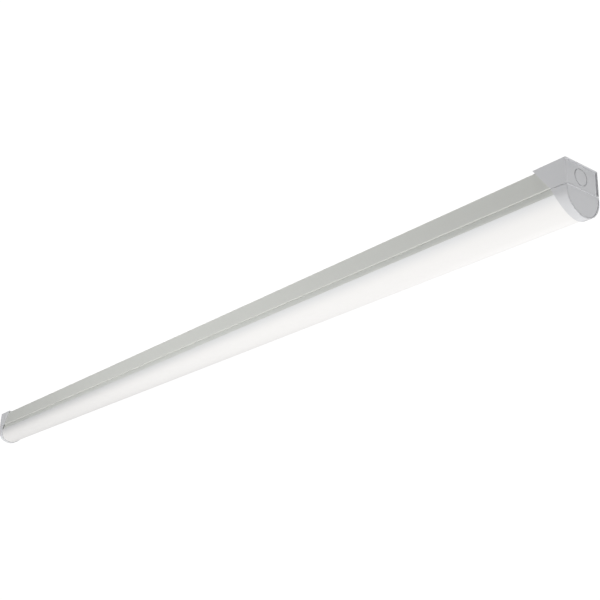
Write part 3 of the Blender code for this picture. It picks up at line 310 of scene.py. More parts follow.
def carried_along_x(section, stations):
    """A section in (y, z) carried straight along X: point (i, j) is (x_i, y_j, z_j)."""
    section = np.asarray(section, dtype=float)
    stations = np.asarray(stations, dtype=float)
    grid = np.empty((len(stations), len(section), 3))
    grid[..., 0] = stations[:, None]
    grid[..., 1:] = section[None]
    return grid


def sheet_wall(faces, stations, seam_ends=(True, True)):
    """Patches of a folded sheet carried along X: both faces, both cut ends, and the
    cut edges that are asked for."""
    one, other = (carried_along_x(face, stations) for face in faces)
    patches = [skin(one), skin(other)]
    patches += [skin(np.stack([one[end], other[end]])) for end in (0, -1)]
    if seam_ends[0]:
        patches.append(skin(np.stack([one[:, 0], other[:, 0]])))
    if seam_ends[1]:
        patches.append(skin(np.stack([one[:, -1], other[:, -1]])))
    return patches


def prism(outline, axis, low, high):
    """Patches of a closed flat outline carried along one axis from low to high, with both ends closed."""
    outline = np.asarray(outline, dtype=float)
    grid = np.insert(np.broadcast_to(outline, (2,) + outline.shape), axis, 0.0, axis=2)
    grid = np.array(grid)
    grid[0, :, axis] = low
    grid[1, :, axis] = high
    return [skin(grid, round_columns=True), lid(grid[0]), lid(grid[1])]


def turned(profile, centre, sides=48, axis=2, closed=False):
    """Patches of a (radius, height) profile turned about an axis: (r cos a, r sin a)
    across it, height along it."""
    profile = np.asarray(profile, dtype=float)
    angles = 2 * math.pi * np.arange(sides) / sides
    grid = np.empty((len(profile), sides, 3))
    across = [index for index in range(3) if index != axis]
    grid[..., across[0]] = centre[across[0]] + profile[:, :1] * np.cos(angles)
    grid[..., across[1]] = centre[across[1]] + profile[:, :1] * np.sin(angles)
    grid[..., axis] = centre[axis] + profile[:, 1:]
    patches = [skin(grid, round_rows=closed, round_columns=True)]
    if not closed:
        patches += [lid(grid[0]), lid(grid[-1])]
    return patches


# Plate with pierced and raised cells

def cell_loop(reach, half_width):
    """The border of a cell, equal steps a side, from the corner at (+reach, -half_width) round to itself."""
    step = np.linspace(-1.0, 1.0, cell_steps + 1)[:-1]
    ones = np.ones(cell_steps)
    x = np.concatenate([ones, -step, -ones, step]) * reach
    y = np.concatenate([step, ones, -step, -ones]) * half_width
    return np.stack([x, y], axis=-1)


def cell_rows(border, centre_y, rows):
    """Rows of a cell: each is the border, a circle or a round-ended slot, at its height, along the
    same directions. A slot's point is the circle's point moved along X by the slot's half
    straight, towards the side it is on."""
    angles = np.arctan2(border[:, 1] - centre_y, border[:, 0])
    grid = []
    for radius, straight, height in rows:
        if radius is None:
            flat = border
        else:
            flat = np.stack([np.cos(angles) * radius + np.sign(np.cos(angles)) * straight,
                             np.sin(angles) * radius + centre_y], axis=-1)
        grid.append(np.column_stack([flat, np.full(len(flat), height)]))
    return np.array(grid)


def plate(half_width, top, under, ends, cells):
    """Patches of a flat plate from end to end along X, whose cells have their own
    rows. Also gives its stations."""
    across = np.linspace(-half_width, half_width, cell_steps + 1)
    patches = []
    stations = set(ends)
    edges = [ends[0]]
    for place in sorted(cells):
        reach, centre_y, rows_of_faces = cells[place]
        border = cell_loop(reach, half_width)
        long_side = place + border[cell_steps:2 * cell_steps + 1, 0]
        stations.update(np.round(long_side, 9).tolist())
        edges += [place - reach, place + reach]
        for rows in rows_of_faces:
            grid = cell_rows(border, centre_y, rows)
            grid[..., 0] += place
            patches.append(skin(grid, round_columns=True))
    edges.append(ends[1])
    for start, stop in zip(edges[::2], edges[1::2]):
        for height in (top, under):
            section = np.column_stack([across, np.full(len(across), height)])
            patches.append(skin(carried_along_x(section, (start, stop))))
    for end in ends:
        section = [[(end, y, z) for y in across] for z in (top, under)]
        patches.append(skin(section))
    return patches, sorted(stations)


def through_rows(raised_top, raised_under, hole, straight, ease=0.00015):
    """A cell's rows from its top border down through its hole and back out to the border below."""
    top = raised_top[-1][2]
    under = raised_under[-1][2]
    wall = [(hole + ease, straight, top), (hole, straight, top - ease),
            (hole, straight, under + ease), (hole + ease, straight, under)]
    return list(raised_top) + wall + list(reversed(raised_under))


def flat_rows(height, radius):
    """Rows of a flat stretch of a cell, from its border in to a circle."""
    return [(None, 0.0, height), (radius, 0.0, height)]


def pad_side(top, rise, radius, slope, sheet):
    """Rows of a raised pad, from the border in, as shares of its rise: an eased foot, the slope and an eased
    shoulder. sheet is how much nearer the middle the row lies, 0 for the upper face."""
    soften = 0.0004
    foot = radius + slope
    climb = [(foot + 2 * soften, 0.0), (foot + soften / 2, 0.03), (foot - soften / 2, 0.14),
             (radius + slope * 0.15, 0.88), (radius - soften, 0.985), (radius - 2 * soften, 1.0)]
    return [(None, 0.0, top)] + [(reach - sheet, 0.0, top + rise * share) for reach, share in climb]


def blind(rows):
    """Rows that run on to the middle of the cell."""
    return list(rows) + [(rows[-1][0] / 3, 0.0, rows[-1][2]), (0.0, 0.0, rows[-1][2])]


def pressed_disc(top, under):
    """Rows of both faces of a shallow pressed disc, a half-sheared step of the sheet."""
    ease, slope = 0.0001, 0.0003
    above = flat_rows(top, disc_radius + slope)
    above += [(disc_radius, 0.0, top + ease), (disc_radius - ease, 0.0, top + disc_lift - ease),
              (disc_radius - slope, 0.0, top + disc_lift)]
    below = flat_rows(under, disc_radius)
    below += [(disc_radius - slope, 0.0, under + disc_lift - ease),
              (disc_radius - 2 * slope, 0.0, under + disc_lift)]
    return blind(above), blind(below)


def spine_cells():
    """The cells of the spine's back: slotted pads, a blind pad, pressed discs, the
    cable entry and a screw hole."""
    top, under = spine_top, spine_top - spine_sheet
    margin = 0.001
    cells = {}
    for place in pad_places:
        above = pad_side(top, -top, pad_radius, pad_slope, 0.0)
        below = pad_side(under, -top, pad_radius, pad_slope, spine_sheet)
        if place:
            straight = (slot_length - slot_width) / 2
            cells[place] = (cell_reach, 0.0, [through_rows(above, below, slot_width / 2, straight)])
        else:
            cells[place] = (cell_reach, 0.0, [blind(above), blind(below)])
    for place in disc_places:
        cells[place] = (cell_reach, 0.0, pressed_disc(top, under))
    for place, hole in ((entry_place, entry_radius), (block_screw_place, block_screw_hole)):
        rows = through_rows(flat_rows(top, hole + margin), flat_rows(under, hole + margin), hole, 0.0)
        cells[place] = (cell_reach, 0.0, [rows])
    return cells


def strap_tabs(foot_height, direction):
    """The two bent tabs that the straps hang on: a folded strip in the XZ plane carried across Y."""
    foot, half_width = 0.006, 0.006
    patches = []
    for place in strap_places:
        path = [(-foot, foot_height), (0.0, foot_height), (0.0, foot_height + direction * tab_rise)]
        one, other = folded_sheet(path, [tab_sheet], tab_sheet)
        outline = np.concatenate([one, other[::-1]]) + [place, 0.0]
        patches += prism(outline, 1, -half_width, half_width)
    return patches


def mirrored_y(patches):
    """Patches with their copies on the other side of the XZ plane."""
    return patches + [(points * [1.0, -1.0, 1.0], faces) for points, faces in patches]


def spine_shell(finish):
    """The folded spine: lips, sides and bends as one section carried along X, and the
    back as a plate with cells."""
    middle = spine_sheet / 2
    flat_half = spine_half - middle - spine_bend
    back, stations = plate(flat_half, spine_top, spine_top - spine_sheet, (-spine_end, spine_end),
                           spine_cells())
    path = [(lip_inner, spine_bottom + middle), (spine_half - middle, spine_bottom + middle),
            (spine_half - middle, spine_top - middle), (flat_half, spine_top - middle)]
    side = sheet_wall(folded_sheet(path, [lip_bend, spine_bend], spine_sheet, 10), stations, (True, False))
    piece("spine_shell", back + mirrored_y(side), finish, "spine", ["spine_channel"])
    piece("spine_strap_tabs", strap_tabs(spine_top - spine_sheet - tab_sheet / 2, -1), finish, "spine")


def tray_shell(finish):
    """The gear tray: folds, sides, hems and return legs as one section carried
    along X, and the web as a plate."""
    middle = tray_sheet / 2
    leg = tray_half - tray_sheet - hem_gap - middle
    flat_half = leg - web_bend
    web_top = web_under + tray_sheet
    margin, ease, reach, sink = 0.0006, 0.0001, 0.010, 0.0001
    hole = lead_hole_radius
    rows = through_rows(flat_rows(web_top, hole + margin), flat_rows(web_under, hole + margin), hole, 0.0,
                        ease)
    web, stations = plate(flat_half, web_top, web_under, (-spine_end, spine_end),
                          {lead_hole[0]: (reach, lead_hole[1], [rows])})
    path = [(tray_half - fold_width, tray_top - middle), (tray_half - middle, tray_top - middle),
            (tray_half - middle, hem_bottom + hem_height),
            (tray_half - middle - hem_lean, hem_bottom + middle), (leg, hem_bottom + middle),
            (leg, web_under + middle), (flat_half, web_under + middle)]
    hem = (hem_gap + tray_sheet - hem_lean) / 2 * hem_bend_share
    bends = [fold_bend, hem_height / 2, hem, hem, web_bend]
    side = sheet_wall(folded_sheet(path, bends, tray_sheet, 10), stations, (True, False))
    piece("tray_shell", web + mirrored_y(side), finish, "tray", ["gear_tray"])
    piece("tray_strap_tabs", strap_tabs(web_top + tab_sheet / 2 - sink, 1), finish, "tray")


# End caps

def shares_by_angle(low, high, distance, steps):
    """Shares along a side, from low to high, where rays at equal angles from a
    point at a distance meet it."""
    angles = np.linspace(math.atan2(low, distance), math.atan2(high, distance), steps + 1)
    return (distance * np.tan(angles) - low) / (high - low)


def cap_outline(inset, lift):
    """The spine cap's outline in (y, z), drawn in by inset and its bottom up by lift: left side
    up, rounded corner, top, corner, right side down, then the bottom from right to left. Every
    ring has the same count of points."""
    side_steps, top_steps, corner_steps = 16, 30, 6
    half = cap_half - inset
    top = -inset
    bottom = -cap_height + lift
    radius = max(cap_corner - inset, least_cap_corner)
    turn = np.linspace(0.0, math.pi / 2, corner_steps + 1)
    rise = shares_by_angle(-(cap_height - knockout_drop), knockout_drop, cap_half, side_steps)
    over = shares_by_angle(-cap_half, cap_half, knockout_drop, top_steps)
    left = np.column_stack([np.full(len(rise), -half), bottom + (top - radius - bottom) * rise])
    corner = np.column_stack([-half + radius - radius * np.cos(turn), top - radius + radius * np.sin(turn)])
    across = np.column_stack([(half - radius) * (2 * over - 1), np.full(len(over), top)])
    right = left[::-1] * [-1, 1]
    other = corner[::-1] * [-1, 1]
    base = np.column_stack([half * (1 - 2 * over), np.full(len(over), bottom)])
    return np.concatenate([left, corner[1:-1], across, other[1:-1], right]), base[1:-1]


def at_depth(section, depth, side):
    """Section points (y, z) placed a depth in from the batten's end."""
    section = np.asarray(section, dtype=float)
    return np.column_stack([side * (half_length - np.broadcast_to(depth, len(section))), section])


def slanted_reach(z):
    """The spine cap's reach at a height: it falls evenly from the ceiling to the parting."""
    return cap_reach + (cap_reach - reach_at_parting) * z / cap_height


def edge_round(radius, steps=4):
    """Quarter-round steps: (how far short of the edge, how far in from the surface)."""
    turn = np.linspace(0.0, math.pi / 2, steps + 1)
    return [(radius * (1 - math.sin(a)), radius * (1 - math.cos(a))) for a in turn]


def recess_places(floor):
    """Rings of a recess and its rim, from the floor out, as (inset, drawn in from the parting, depth, gutter
    depth): floor, a narrow gutter round its border, the drafted wall, the thin rim and the eased outer edge,
    which is finer along the parting."""
    margin, ease = 0.0009, 0.0001
    places = [(rim_root + out, parting_rim_root + out, floor - rise, gutter) for out, rise, gutter in (
        (gutter_width + margin, 0.0, 0.0), (gutter_width + ease, 0.0, 0.0), (gutter_width, 0.0, ease),
        (gutter_width - ease, 0.0, gutter_depth), (1.5 * ease, 0.0, gutter_depth), (0.0, ease, gutter_depth))]
    places.append((rim_root - ease, parting_rim_root - ease / 2, floor - 2 * ease, 0.0))
    places.append((rim_front + ease, parting_rim_front + ease, ease, 0.0))
    places.append((rim_front, parting_rim_front, 0.0, 0.0))
    places += [(drawn, drawn * parting_ease_share, short, 0.0)
               for short, drawn in reversed(edge_round(cap_fillet))]
    return places


def away_from_parting(z, parting):
    """How fully the gutter is cut at a height: nothing at the parting, all of it a little way from it."""
    return np.clip((np.abs(z - parting) - gutter_fade) / gutter_fade, 0.0, 1.0)


def knockout_rows(floor):
    """The knock-out as (radius, depth) from its middle out: a flat, the ring groove
    with both edges eased, a flat."""
    middle, margin, ease = 0.005, 0.0015, 0.0001
    inner, outer = knockout_radius - knockout_groove / 2, knockout_radius + knockout_groove / 2
    edge = [(5 * ease, 0.0), (2 * ease, 0.3 * ease), (0.0, 2 * ease), (-ease / 2, knockout_depth - ease),
            (-1.5 * ease, knockout_depth)]
    rows = [(0.0, floor), (middle, floor)]
    rows += [(inner - away, floor + deep) for away, deep in edge]
    rows += [(outer + away, floor + deep) for away, deep in reversed(edge)]
    return rows + [(outer + margin, floor)]


def snap_hooks(side):
    """Patches of the two snap hooks behind the cap's top: an outline in (depth from
    the end, z) carried across Y."""
    outline = [(0.0276, -0.0019), (0.0292, -0.0019), (0.0292, -0.0072), (0.0277, -0.0072), (0.0268, -0.0051),
               (0.0276, -0.0050)]
    outline = np.array([(side * (half_length - depth), z) for depth, z in outline])
    spots, half_width = (-0.015, 0.015), 0.003
    return [patch for y in spots for patch in prism(outline, 1, y - half_width, y + half_width)]


def spine_cap_shell(side, name, finish):
    """The moulded spine cap. Its rings run from the knock-out's middle out over the recess
    floor, up the drafted recess wall, over the thin rim, along the outside to the slanted
    edge, and back along the inside."""

    def ring(inset, lift, depth, gutter):
        """A closed ring at a depth, deeper by the gutter away from the parting."""
        section = np.concatenate(cap_outline(inset, lift))
        return at_depth(section, depth + gutter * away_from_parting(section[:, 1], -cap_height), side)

    def open_ring(inset, depth_of):
        """The outline without its bottom, each point at the depth that its height gives."""
        upper = cap_outline(inset, 0.0)[0]
        return at_depth(upper, depth_of(upper[:, 1]), side)

    inside = 0.0001
    around = np.concatenate(cap_outline(rim_root + inside, parting_rim_root + inside))
    angles = np.arctan2(around[:, 1] + knockout_drop, around[:, 0])
    circle = np.column_stack([np.cos(angles), np.sin(angles)])
    rows = [at_depth(circle * radius - [0.0, knockout_drop], depth, side)
            for radius, depth in knockout_rows(recess_depth)]
    rows += [ring(*place) for place in recess_places(recess_depth)]

    shell = [open_ring(0.0, lambda z: np.full_like(z, cap_fillet)),
             open_ring(0.0, lambda z: slanted_reach(z) - edge_run)]
    shell += [open_ring(drawn, lambda z: slanted_reach(z) - short)
              for short, drawn in edge_round(cap_edge_round)]
    shell += [open_ring(cap_wall - inner_ease, slanted_reach),
              open_ring(cap_wall, lambda z: slanted_reach(z) - inner_ease),
              open_ring(cap_wall, lambda z: np.full_like(z, recess_depth + cap_wall))]
    shell = np.array(shell)
    bottom = at_depth(cap_outline(0.0, 0.0)[1], cap_fillet, side)
    patches = [skin(np.array(rows), round_columns=True), skin(shell), lid(shell[-1]),
               lid(np.concatenate([shell[:, 0], shell[::-1, -1], bottom]))]
    piece(name + "_spine_cap_shell", patches + snap_hooks(side), finish, "spine", [name + "_spine_cap"],
          sharp=30.0)


def bowl_outline(inset, drop, depth):
    """The diffuser cap's outline in (y, z), drawn in by inset and its top down by drop: left tip, straight
    side, half round, right side, then the top from right to left. The top corners are cut by a slanting
    plane that is deepest at the end and fades out along the batten: a point is on it where y / width + z /
    height from the corner is 1."""
    side_steps, round_steps, top_steps = 6, 96, 24
    top = -(cap_height + parting_gap)
    half = cap_half - inset
    fade = max(1.0 - depth / notch_length, 1e-6)
    width, height = notch_width * fade, notch_height * fade
    tip = max(inset, width * (1.0 - drop / height))
    first = max(drop, height * (1.0 - inset / width))
    straight = np.linspace(0.0, 1.0, side_steps + 1)
    left = np.column_stack([
        np.concatenate([[tip - cap_half], np.full(len(straight), -half)]),
        np.concatenate([[top - drop], top - first + (first - top - bowl_drop) * straight])])
    turn = np.linspace(math.pi, 2 * math.pi, round_steps + 1)
    bottom = np.column_stack([half * np.cos(turn), -bowl_drop + half * np.sin(turn)])
    share = np.linspace(1.0, -1.0, top_steps + 1)[1:-1]
    across = np.column_stack([(cap_half - tip) * share, np.full(len(share), top - drop)])
    return np.concatenate([left, bottom[1:-1], left[::-1] * [-1, 1]]), across


def swept_reach(z):
    """The diffuser cap's reach at a height: down from the parting by a power of
    what is left of the height."""
    top, bottom = -(cap_height + parting_gap), -(bowl_drop + cap_half)
    share = np.clip((np.asarray(z) - bottom) / (top - bottom), 0.0, 1.0)
    return bowl_reach + (reach_at_parting - bowl_reach) * share ** bowl_curve_share


def diffuser_rib_and_tongue(side, inner_face):
    """Patches of the curved rib that the diffuser's end slides over, and of the
    tongue that goes into the tray."""
    sink, clearance, thick = 0.0001, 0.0003, 0.0012
    first, last, steps, rib_length = 193, 347, 48, 0.008
    outer = diffuser_outer - diffuser_wall - clearance
    turn = np.linspace(math.radians(first), math.radians(last), steps + 1)
    arc = np.stack([np.cos(turn), np.sin(turn)], axis=-1)
    rib = np.concatenate([arc * outer, arc[::-1] * (outer - thick)]) + [0.0, -bowl_drop]
    half_width, low, tongue_length = 0.012, -0.0362, 0.009
    high = low + thick
    tongue = [(-half_width, low), (half_width, low), (half_width, high), (-half_width, high)]
    start = side * (half_length - inner_face + sink)
    return (prism(rib, 0, start, side * (half_length - inner_face - rib_length))
            + prism(tongue, 0, start, side * (half_length - inner_face - tongue_length)))


def diffuser_cap_shell(side, name, finish):
    """The moulded diffuser cap. Its rings run from the recess floor over the rim, along the outside to the
    swept edge and back along the inside."""
    inner_face = recess_depth + cap_wall
    front_run = 0.004

    def ring(inset, drop, depth, gutter):
        """A closed ring at a depth, deeper by the gutter away from the parting."""
        section = np.concatenate(bowl_outline(inset, drop, depth))
        return at_depth(section, depth + gutter * away_from_parting(section[:, 1], -cap_height), side)

    def open_ring(inset, depth):
        """The outline without its top, at one depth."""
        return at_depth(bowl_outline(inset, 0.0, depth)[0], depth, side)

    def swept_ring(inset, short):
        """The outline without its top, short of the swept edge by the same run all round."""
        section = bowl_outline(inset, 0.0, notch_length)[0]
        return at_depth(section, swept_reach(section[:, 1]) - short, side)

    front = np.array([ring(*place) for place in recess_places(bowl_recess_depth)])
    shell = [open_ring(0.0, cap_fillet), open_ring(0.0, front_run), swept_ring(0.0, edge_run)]
    shell += [swept_ring(drawn, short) for short, drawn in edge_round(cap_edge_round)]
    shell += [swept_ring(bowl_wall - inner_ease, 0.0), swept_ring(bowl_wall, inner_ease),
              open_ring(bowl_wall, inner_face)]
    shell = np.array(shell)
    crown = at_depth(bowl_outline(0.0, 0.0, cap_fillet)[1], cap_fillet, side)
    patches = [skin(front, round_columns=True), lid(front[0]), skin(shell), lid(shell[-1]),
               lid(np.concatenate([shell[:, 0], shell[::-1, -1], crown]))]
    piece(name + "_diffuser_cap_shell", patches + diffuser_rib_and_tongue(side, inner_face), finish, "tray",
          [name + "_diffuser_cap"], sharp=30.0)


# Diffuser

def diffuser_section():
    """The diffuser's outer and inner lines in (y, z), +Y half, from the bottom up: an arc, a rounded
    shoulder, a ledge and a hook with a small bead."""
    shoulder, bead, ease, ledge_ease = 0.0005, 0.00015, 0.0002, 0.0003
    arc_steps, shoulder_steps = 60, 5
    bead_low, bead_high = diffuser_top + hook_rise * 2 / 3, diffuser_top + hook_rise * 5 / 6
    tip = diffuser_top + hook_rise

    def arc(radius, top):
        """The round wall from the bottom up to a height: radius (cos a, sin a) about the bowl's centre."""
        turn = np.linspace(-math.pi / 2, math.asin((top + bowl_drop) / radius), arc_steps + 1)
        return np.column_stack([np.cos(turn), np.sin(turn)]) * radius + [0.0, -bowl_drop]

    outside = arc(diffuser_outer, diffuser_top - shoulder)
    turn = np.linspace(0.0, math.pi / 2, shoulder_steps + 1)[1:]
    corner = outside[-1] + np.column_stack([-shoulder * (1 - np.cos(turn)), shoulder * np.sin(turn)])
    hook = [(hook_out, diffuser_top), (hook_out, bead_low), (hook_out + bead, bead_high),
            (hook_out - ease / 2, tip - ease), (hook_out - 2 * ease, tip)]
    ledge = diffuser_top - diffuser_wall
    hook_in = hook_out - hook_wall
    back = [(hook_in + 2 * ease, ledge), (hook_in, ledge + ledge_ease), (hook_in, diffuser_top),
            (hook_in, bead_low), (hook_in, bead_high), (hook_in, tip - 2 * ease),
            (hook_in + ease / 2, tip - ease), (hook_in + 2 * ease, tip)]
    inside = arc(diffuser_outer - diffuser_wall, ledge)
    return np.concatenate([outside, corner, hook]), np.concatenate([inside, back])


def diffuser_shell(finish):
    """The opal extrusion: its section, both halves, carried along X."""
    stations = 37
    outside, inside = diffuser_section()
    loop = np.concatenate([outside, inside[::-1]])
    both = np.concatenate([loop[:-1], (loop[::-1] * [-1, 1])[1:-1]])
    grid = carried_along_x(both, np.linspace(-spine_end, spine_end, stations))
    piece("diffuser_shell", [skin(grid, round_columns=True), lid(grid[0]), lid(grid[-1])], finish, "tray",
          ["diffuser"], sharp=40.0)


# Small moulded, turned and swept forms

def rounded_rectangle(half_a, half_b, radius, steps=4):
    """A closed ring of points: a rectangle with quarter-round corners, with the same count at any size."""
    turn = np.linspace(0.0, math.pi / 2, steps + 1)
    corners = []
    for quarter, (a, b) in enumerate(((1, 1), (-1, 1), (-1, -1), (1, -1))):
        spun = turn + quarter * math.pi / 2
        corners.append(np.column_stack([a * (half_a - radius) + radius * np.cos(spun),
                                        b * (half_b - radius) + radius * np.sin(spun)]))
    return np.concatenate(corners)


def moulded(centre, halves, corner, rows, axis=2):
    """Patches of a moulded block: rings of a rounded rectangle about a centre line, each drawn in by its
    inset at its height along the axis. A row of three is a circle instead: (radius, height, True)."""
    least = 0.00005
    full = rounded_rectangle(halves[0], halves[1], corner)
    angles = np.arctan2(full[:, 1], full[:, 0])
    rings = []
    for row in rows:
        if len(row) == 3:
            rings.append(np.column_stack([np.cos(angles), np.sin(angles)]) * row[0])
        else:
            inset = row[0]
            rings.append(rounded_rectangle(halves[0] - inset, halves[1] - inset, max(corner - inset, least)))
    rings = np.array(rings)
    heights = np.broadcast_to(np.array([row[1] for row in rows])[:, None], rings.shape[:2])
    grid = np.insert(rings, axis, heights, axis=2) + np.asarray(centre, dtype=float)
    return [skin(grid, round_columns=True), lid(grid[0]), lid(grid[-1])]


def moved(patches, by):
    """Patches moved by a vector."""
    return [(points + np.asarray(by, dtype=float), faces) for points, faces in patches]


def eased_route(points, reach, steps=10):
    """Points along straight runs between corners. Near a corner the route is a parabola from one run to the
    next: start (1 - t)^2 + corner 2 t (1 - t) + stop t^2."""
    closest = 0.00015
    corners = np.asarray(points, dtype=float)
    share = np.linspace(0.0, 1.0, steps + 1)[:, None]
    route = [corners[:1]]
    for before, corner, after in zip(corners, corners[1:], corners[2:]):
        back, on = before - corner, after - corner
        ease = min(reach, np.linalg.norm(back) / 2, np.linalg.norm(on) / 2)
        start = corner + back / np.linalg.norm(back) * ease
        stop = corner + on / np.linalg.norm(on) * ease
        route.append(start * (1 - share) ** 2 + corner * 2 * share * (1 - share) + stop * share ** 2)
    route = np.concatenate(route + [corners[-1:]])
    apart = np.linalg.norm(np.diff(route, axis=0), axis=1) > closest
    return route[np.concatenate([[True], apart])]


def swept_frames(route):
    """Two directions square to a route at each of its points, turned no more than the route turns. The first
    is level, or lies along X where the route starts nearly upright."""
    ahead = np.gradient(route, axis=0)
    ahead /= np.linalg.norm(ahead, axis=1)[:, None]
    least = 0.1
    side = np.cross(ahead[0], (0.0, 0.0, 1.0))
    if np.linalg.norm(side) < least:
        side = np.cross(ahead[0], (0.0, 1.0, 0.0))
    sides = []
    for direction in ahead:
        side = side - direction * (side @ direction)
        side = side / np.linalg.norm(side)
        sides.append(side)
    sides = np.array(sides)
    return sides, np.cross(ahead, sides)


def tube(route, radius, sides=16, ease=0.0002):
    """Patches of a round wire: route + (side cos a + other sin a) r, its two ends eased and closed."""
    route = np.asarray(route, dtype=float)
    one, other = swept_frames(route)
    angles = 2 * math.pi * np.arange(sides) / sides
    spokes = one[:, None] * np.cos(angles)[None, :, None] + other[:, None] * np.sin(angles)[None, :, None]
    radii = np.full(len(route), radius)
    radii[0] = radii[-1] = radius - ease
    grid = route[:, None] + spokes * radii[:, None, None]
    return [skin(grid, round_columns=True), lid(grid[0]), lid(grid[-1])]


# Pieces inside

def solid_box(node):
    """A solid's low and high corners as arrays."""
    low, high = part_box(node)
    return np.array(low), np.array(high)


def eased_copy(node, name, finish, ease):
    """A copy of a solid with its flat faces made whole and its edges rounded by a bevel."""
    source = frame["nodes"][node]
    mesh = bpy.data.meshes.new(name)
    shape = bmesh.new()
    shape.from_mesh(source.data)
    bmesh.ops.remove_doubles(shape, verts=shape.verts[:], dist=same_point)
    bmesh.ops.dissolve_limit(shape, angle_limit=math.radians(flat_within), verts=shape.verts[:],
                             edges=shape.edges[:])
    shape.to_mesh(mesh)
    shape.free()
    mesh.materials.clear()
    mesh.materials.append(finish)
    mesh.shade_smooth()
    made = bpy.data.objects.new(name, mesh)
    bpy.context.scene.collection.objects.link(made)
    soften = made.modifiers.new("softened_edges", "BEVEL")
    soften.width = ease
    soften.segments = bevel_steps
    soften.limit_method = "ANGLE"
    soften.angle_limit = math.radians(edge_angle)
    made.modifiers.new("even_shading", "WEIGHTED_NORMAL").keep_sharp = True
    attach(made, body_of(source)[0])
    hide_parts(node)


def grommet_ring(finish):
    """The rubber grommet: a closed profile with two rolled flanges and a neck,
    turned about the entry's axis."""
    low, high = (corner[2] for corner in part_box("cable_grommet"))
    flange, neck, bore, roll = 0.0125, 0.0097, 0.0055, 0.0006
    clearance, ease, bore_ease, roll_steps = 0.0003, 0.0001, 0.0003, 4
    over, under = spine_top + clearance, spine_top - spine_sheet - clearance
    turn = np.linspace(0.0, math.pi / 2, roll_steps + 1)
    lower = [(flange - roll + roll * math.sin(a), low + roll - roll * math.cos(a)) for a in turn]
    upper = [(flange - roll + roll * math.cos(a), high - roll + roll * math.sin(a)) for a in turn]
    waist = [(flange, under - ease), (flange - ease, under), (neck, under), (neck, over),
             (flange - ease, over), (flange, over + ease)]
    profile = [(bore + bore_ease, low)] + lower + waist + upper
    profile += [(bore + bore_ease, high), (bore, high - bore_ease), (bore, low + bore_ease)]
    piece("cable_grommet_ring", turned(profile, (entry_place, 0.0, 0.0), 64, closed=True), finish, "spine",
          ["cable_grommet"], sharp=50.0)


def threaded_stud(name, node, place, base, direction, finish, body):
    """A weld stud: its disc and a shank whose thread is a row of ridges, turned about its axis."""
    crest, root, pitch, ease = 0.0019, 0.00165, 0.0007, 0.0002
    disc, thick = 0.0032, 0.0006
    start, end, tip, tip_radius = 0.0022, 0.0090, 0.0095, 0.0012
    ridges = np.arange(start, end - ease, pitch)
    thread = np.stack([np.tile([root, crest], len(ridges)), (ridges[:, None] + [0.0, pitch / 2]).ravel()],
                      axis=-1)
    profile = [(disc - ease, 0.0), (disc, ease / 2), (disc, thick - ease), (disc - ease, thick),
               (crest + ease, thick), (crest, thick + ease), (crest, start - ease)]
    profile = np.array(profile + thread.tolist() + [(root, end), (tip_radius, tip)]) * [1.0, direction]
    piece(name, turned(profile, (*place, base), 32), finish, body, [node], sharp=50.0)


def flanged_nut(name, node, place, base, direction, finish, body):
    """A flange nut: its side follows a hexagon, radius = half flats / cos(angle from the middle of a
    flat), and a cone takes its corners off at the top: height falls by tan 30 of what a corner stands
    out beyond the cone's circle."""
    sides, half_flats, height, bore = 48, 0.0035, 0.0030, 0.0022
    flange, flange_thick, ease, bore_ease, circle_share = 0.0046, 0.0007, 0.0001, 0.0003, 1.01
    angles = 2 * math.pi * np.arange(sides) / sides
    hexagon = half_flats / np.cos((angles + math.pi / 6) % (math.pi / 3) - math.pi / 6)
    circle = half_flats * circle_share
    chamfer = height - np.maximum(0.0, hexagon - circle) * math.tan(math.pi / 6)
    rows = [(bore, 0.0), (flange - ease, 0.0), (flange, ease), (flange, flange_thick - ease),
            (flange - ease, flange_thick), (hexagon + ease, flange_thick), (hexagon, flange_thick + ease),
            (hexagon, chamfer), (circle, height), (bore + bore_ease, height), (bore, height - bore_ease),
            (bore, bore_ease)]
    grid = np.array([np.column_stack([np.cos(angles) * radius, np.sin(angles) * radius,
                                      np.broadcast_to(np.asarray(level) * direction, sides)])
                     for radius, level in rows]) + [*place, base]
    piece(name, [skin(grid, round_rows=True, round_columns=True)], finish, body, [node], sharp=24.0)


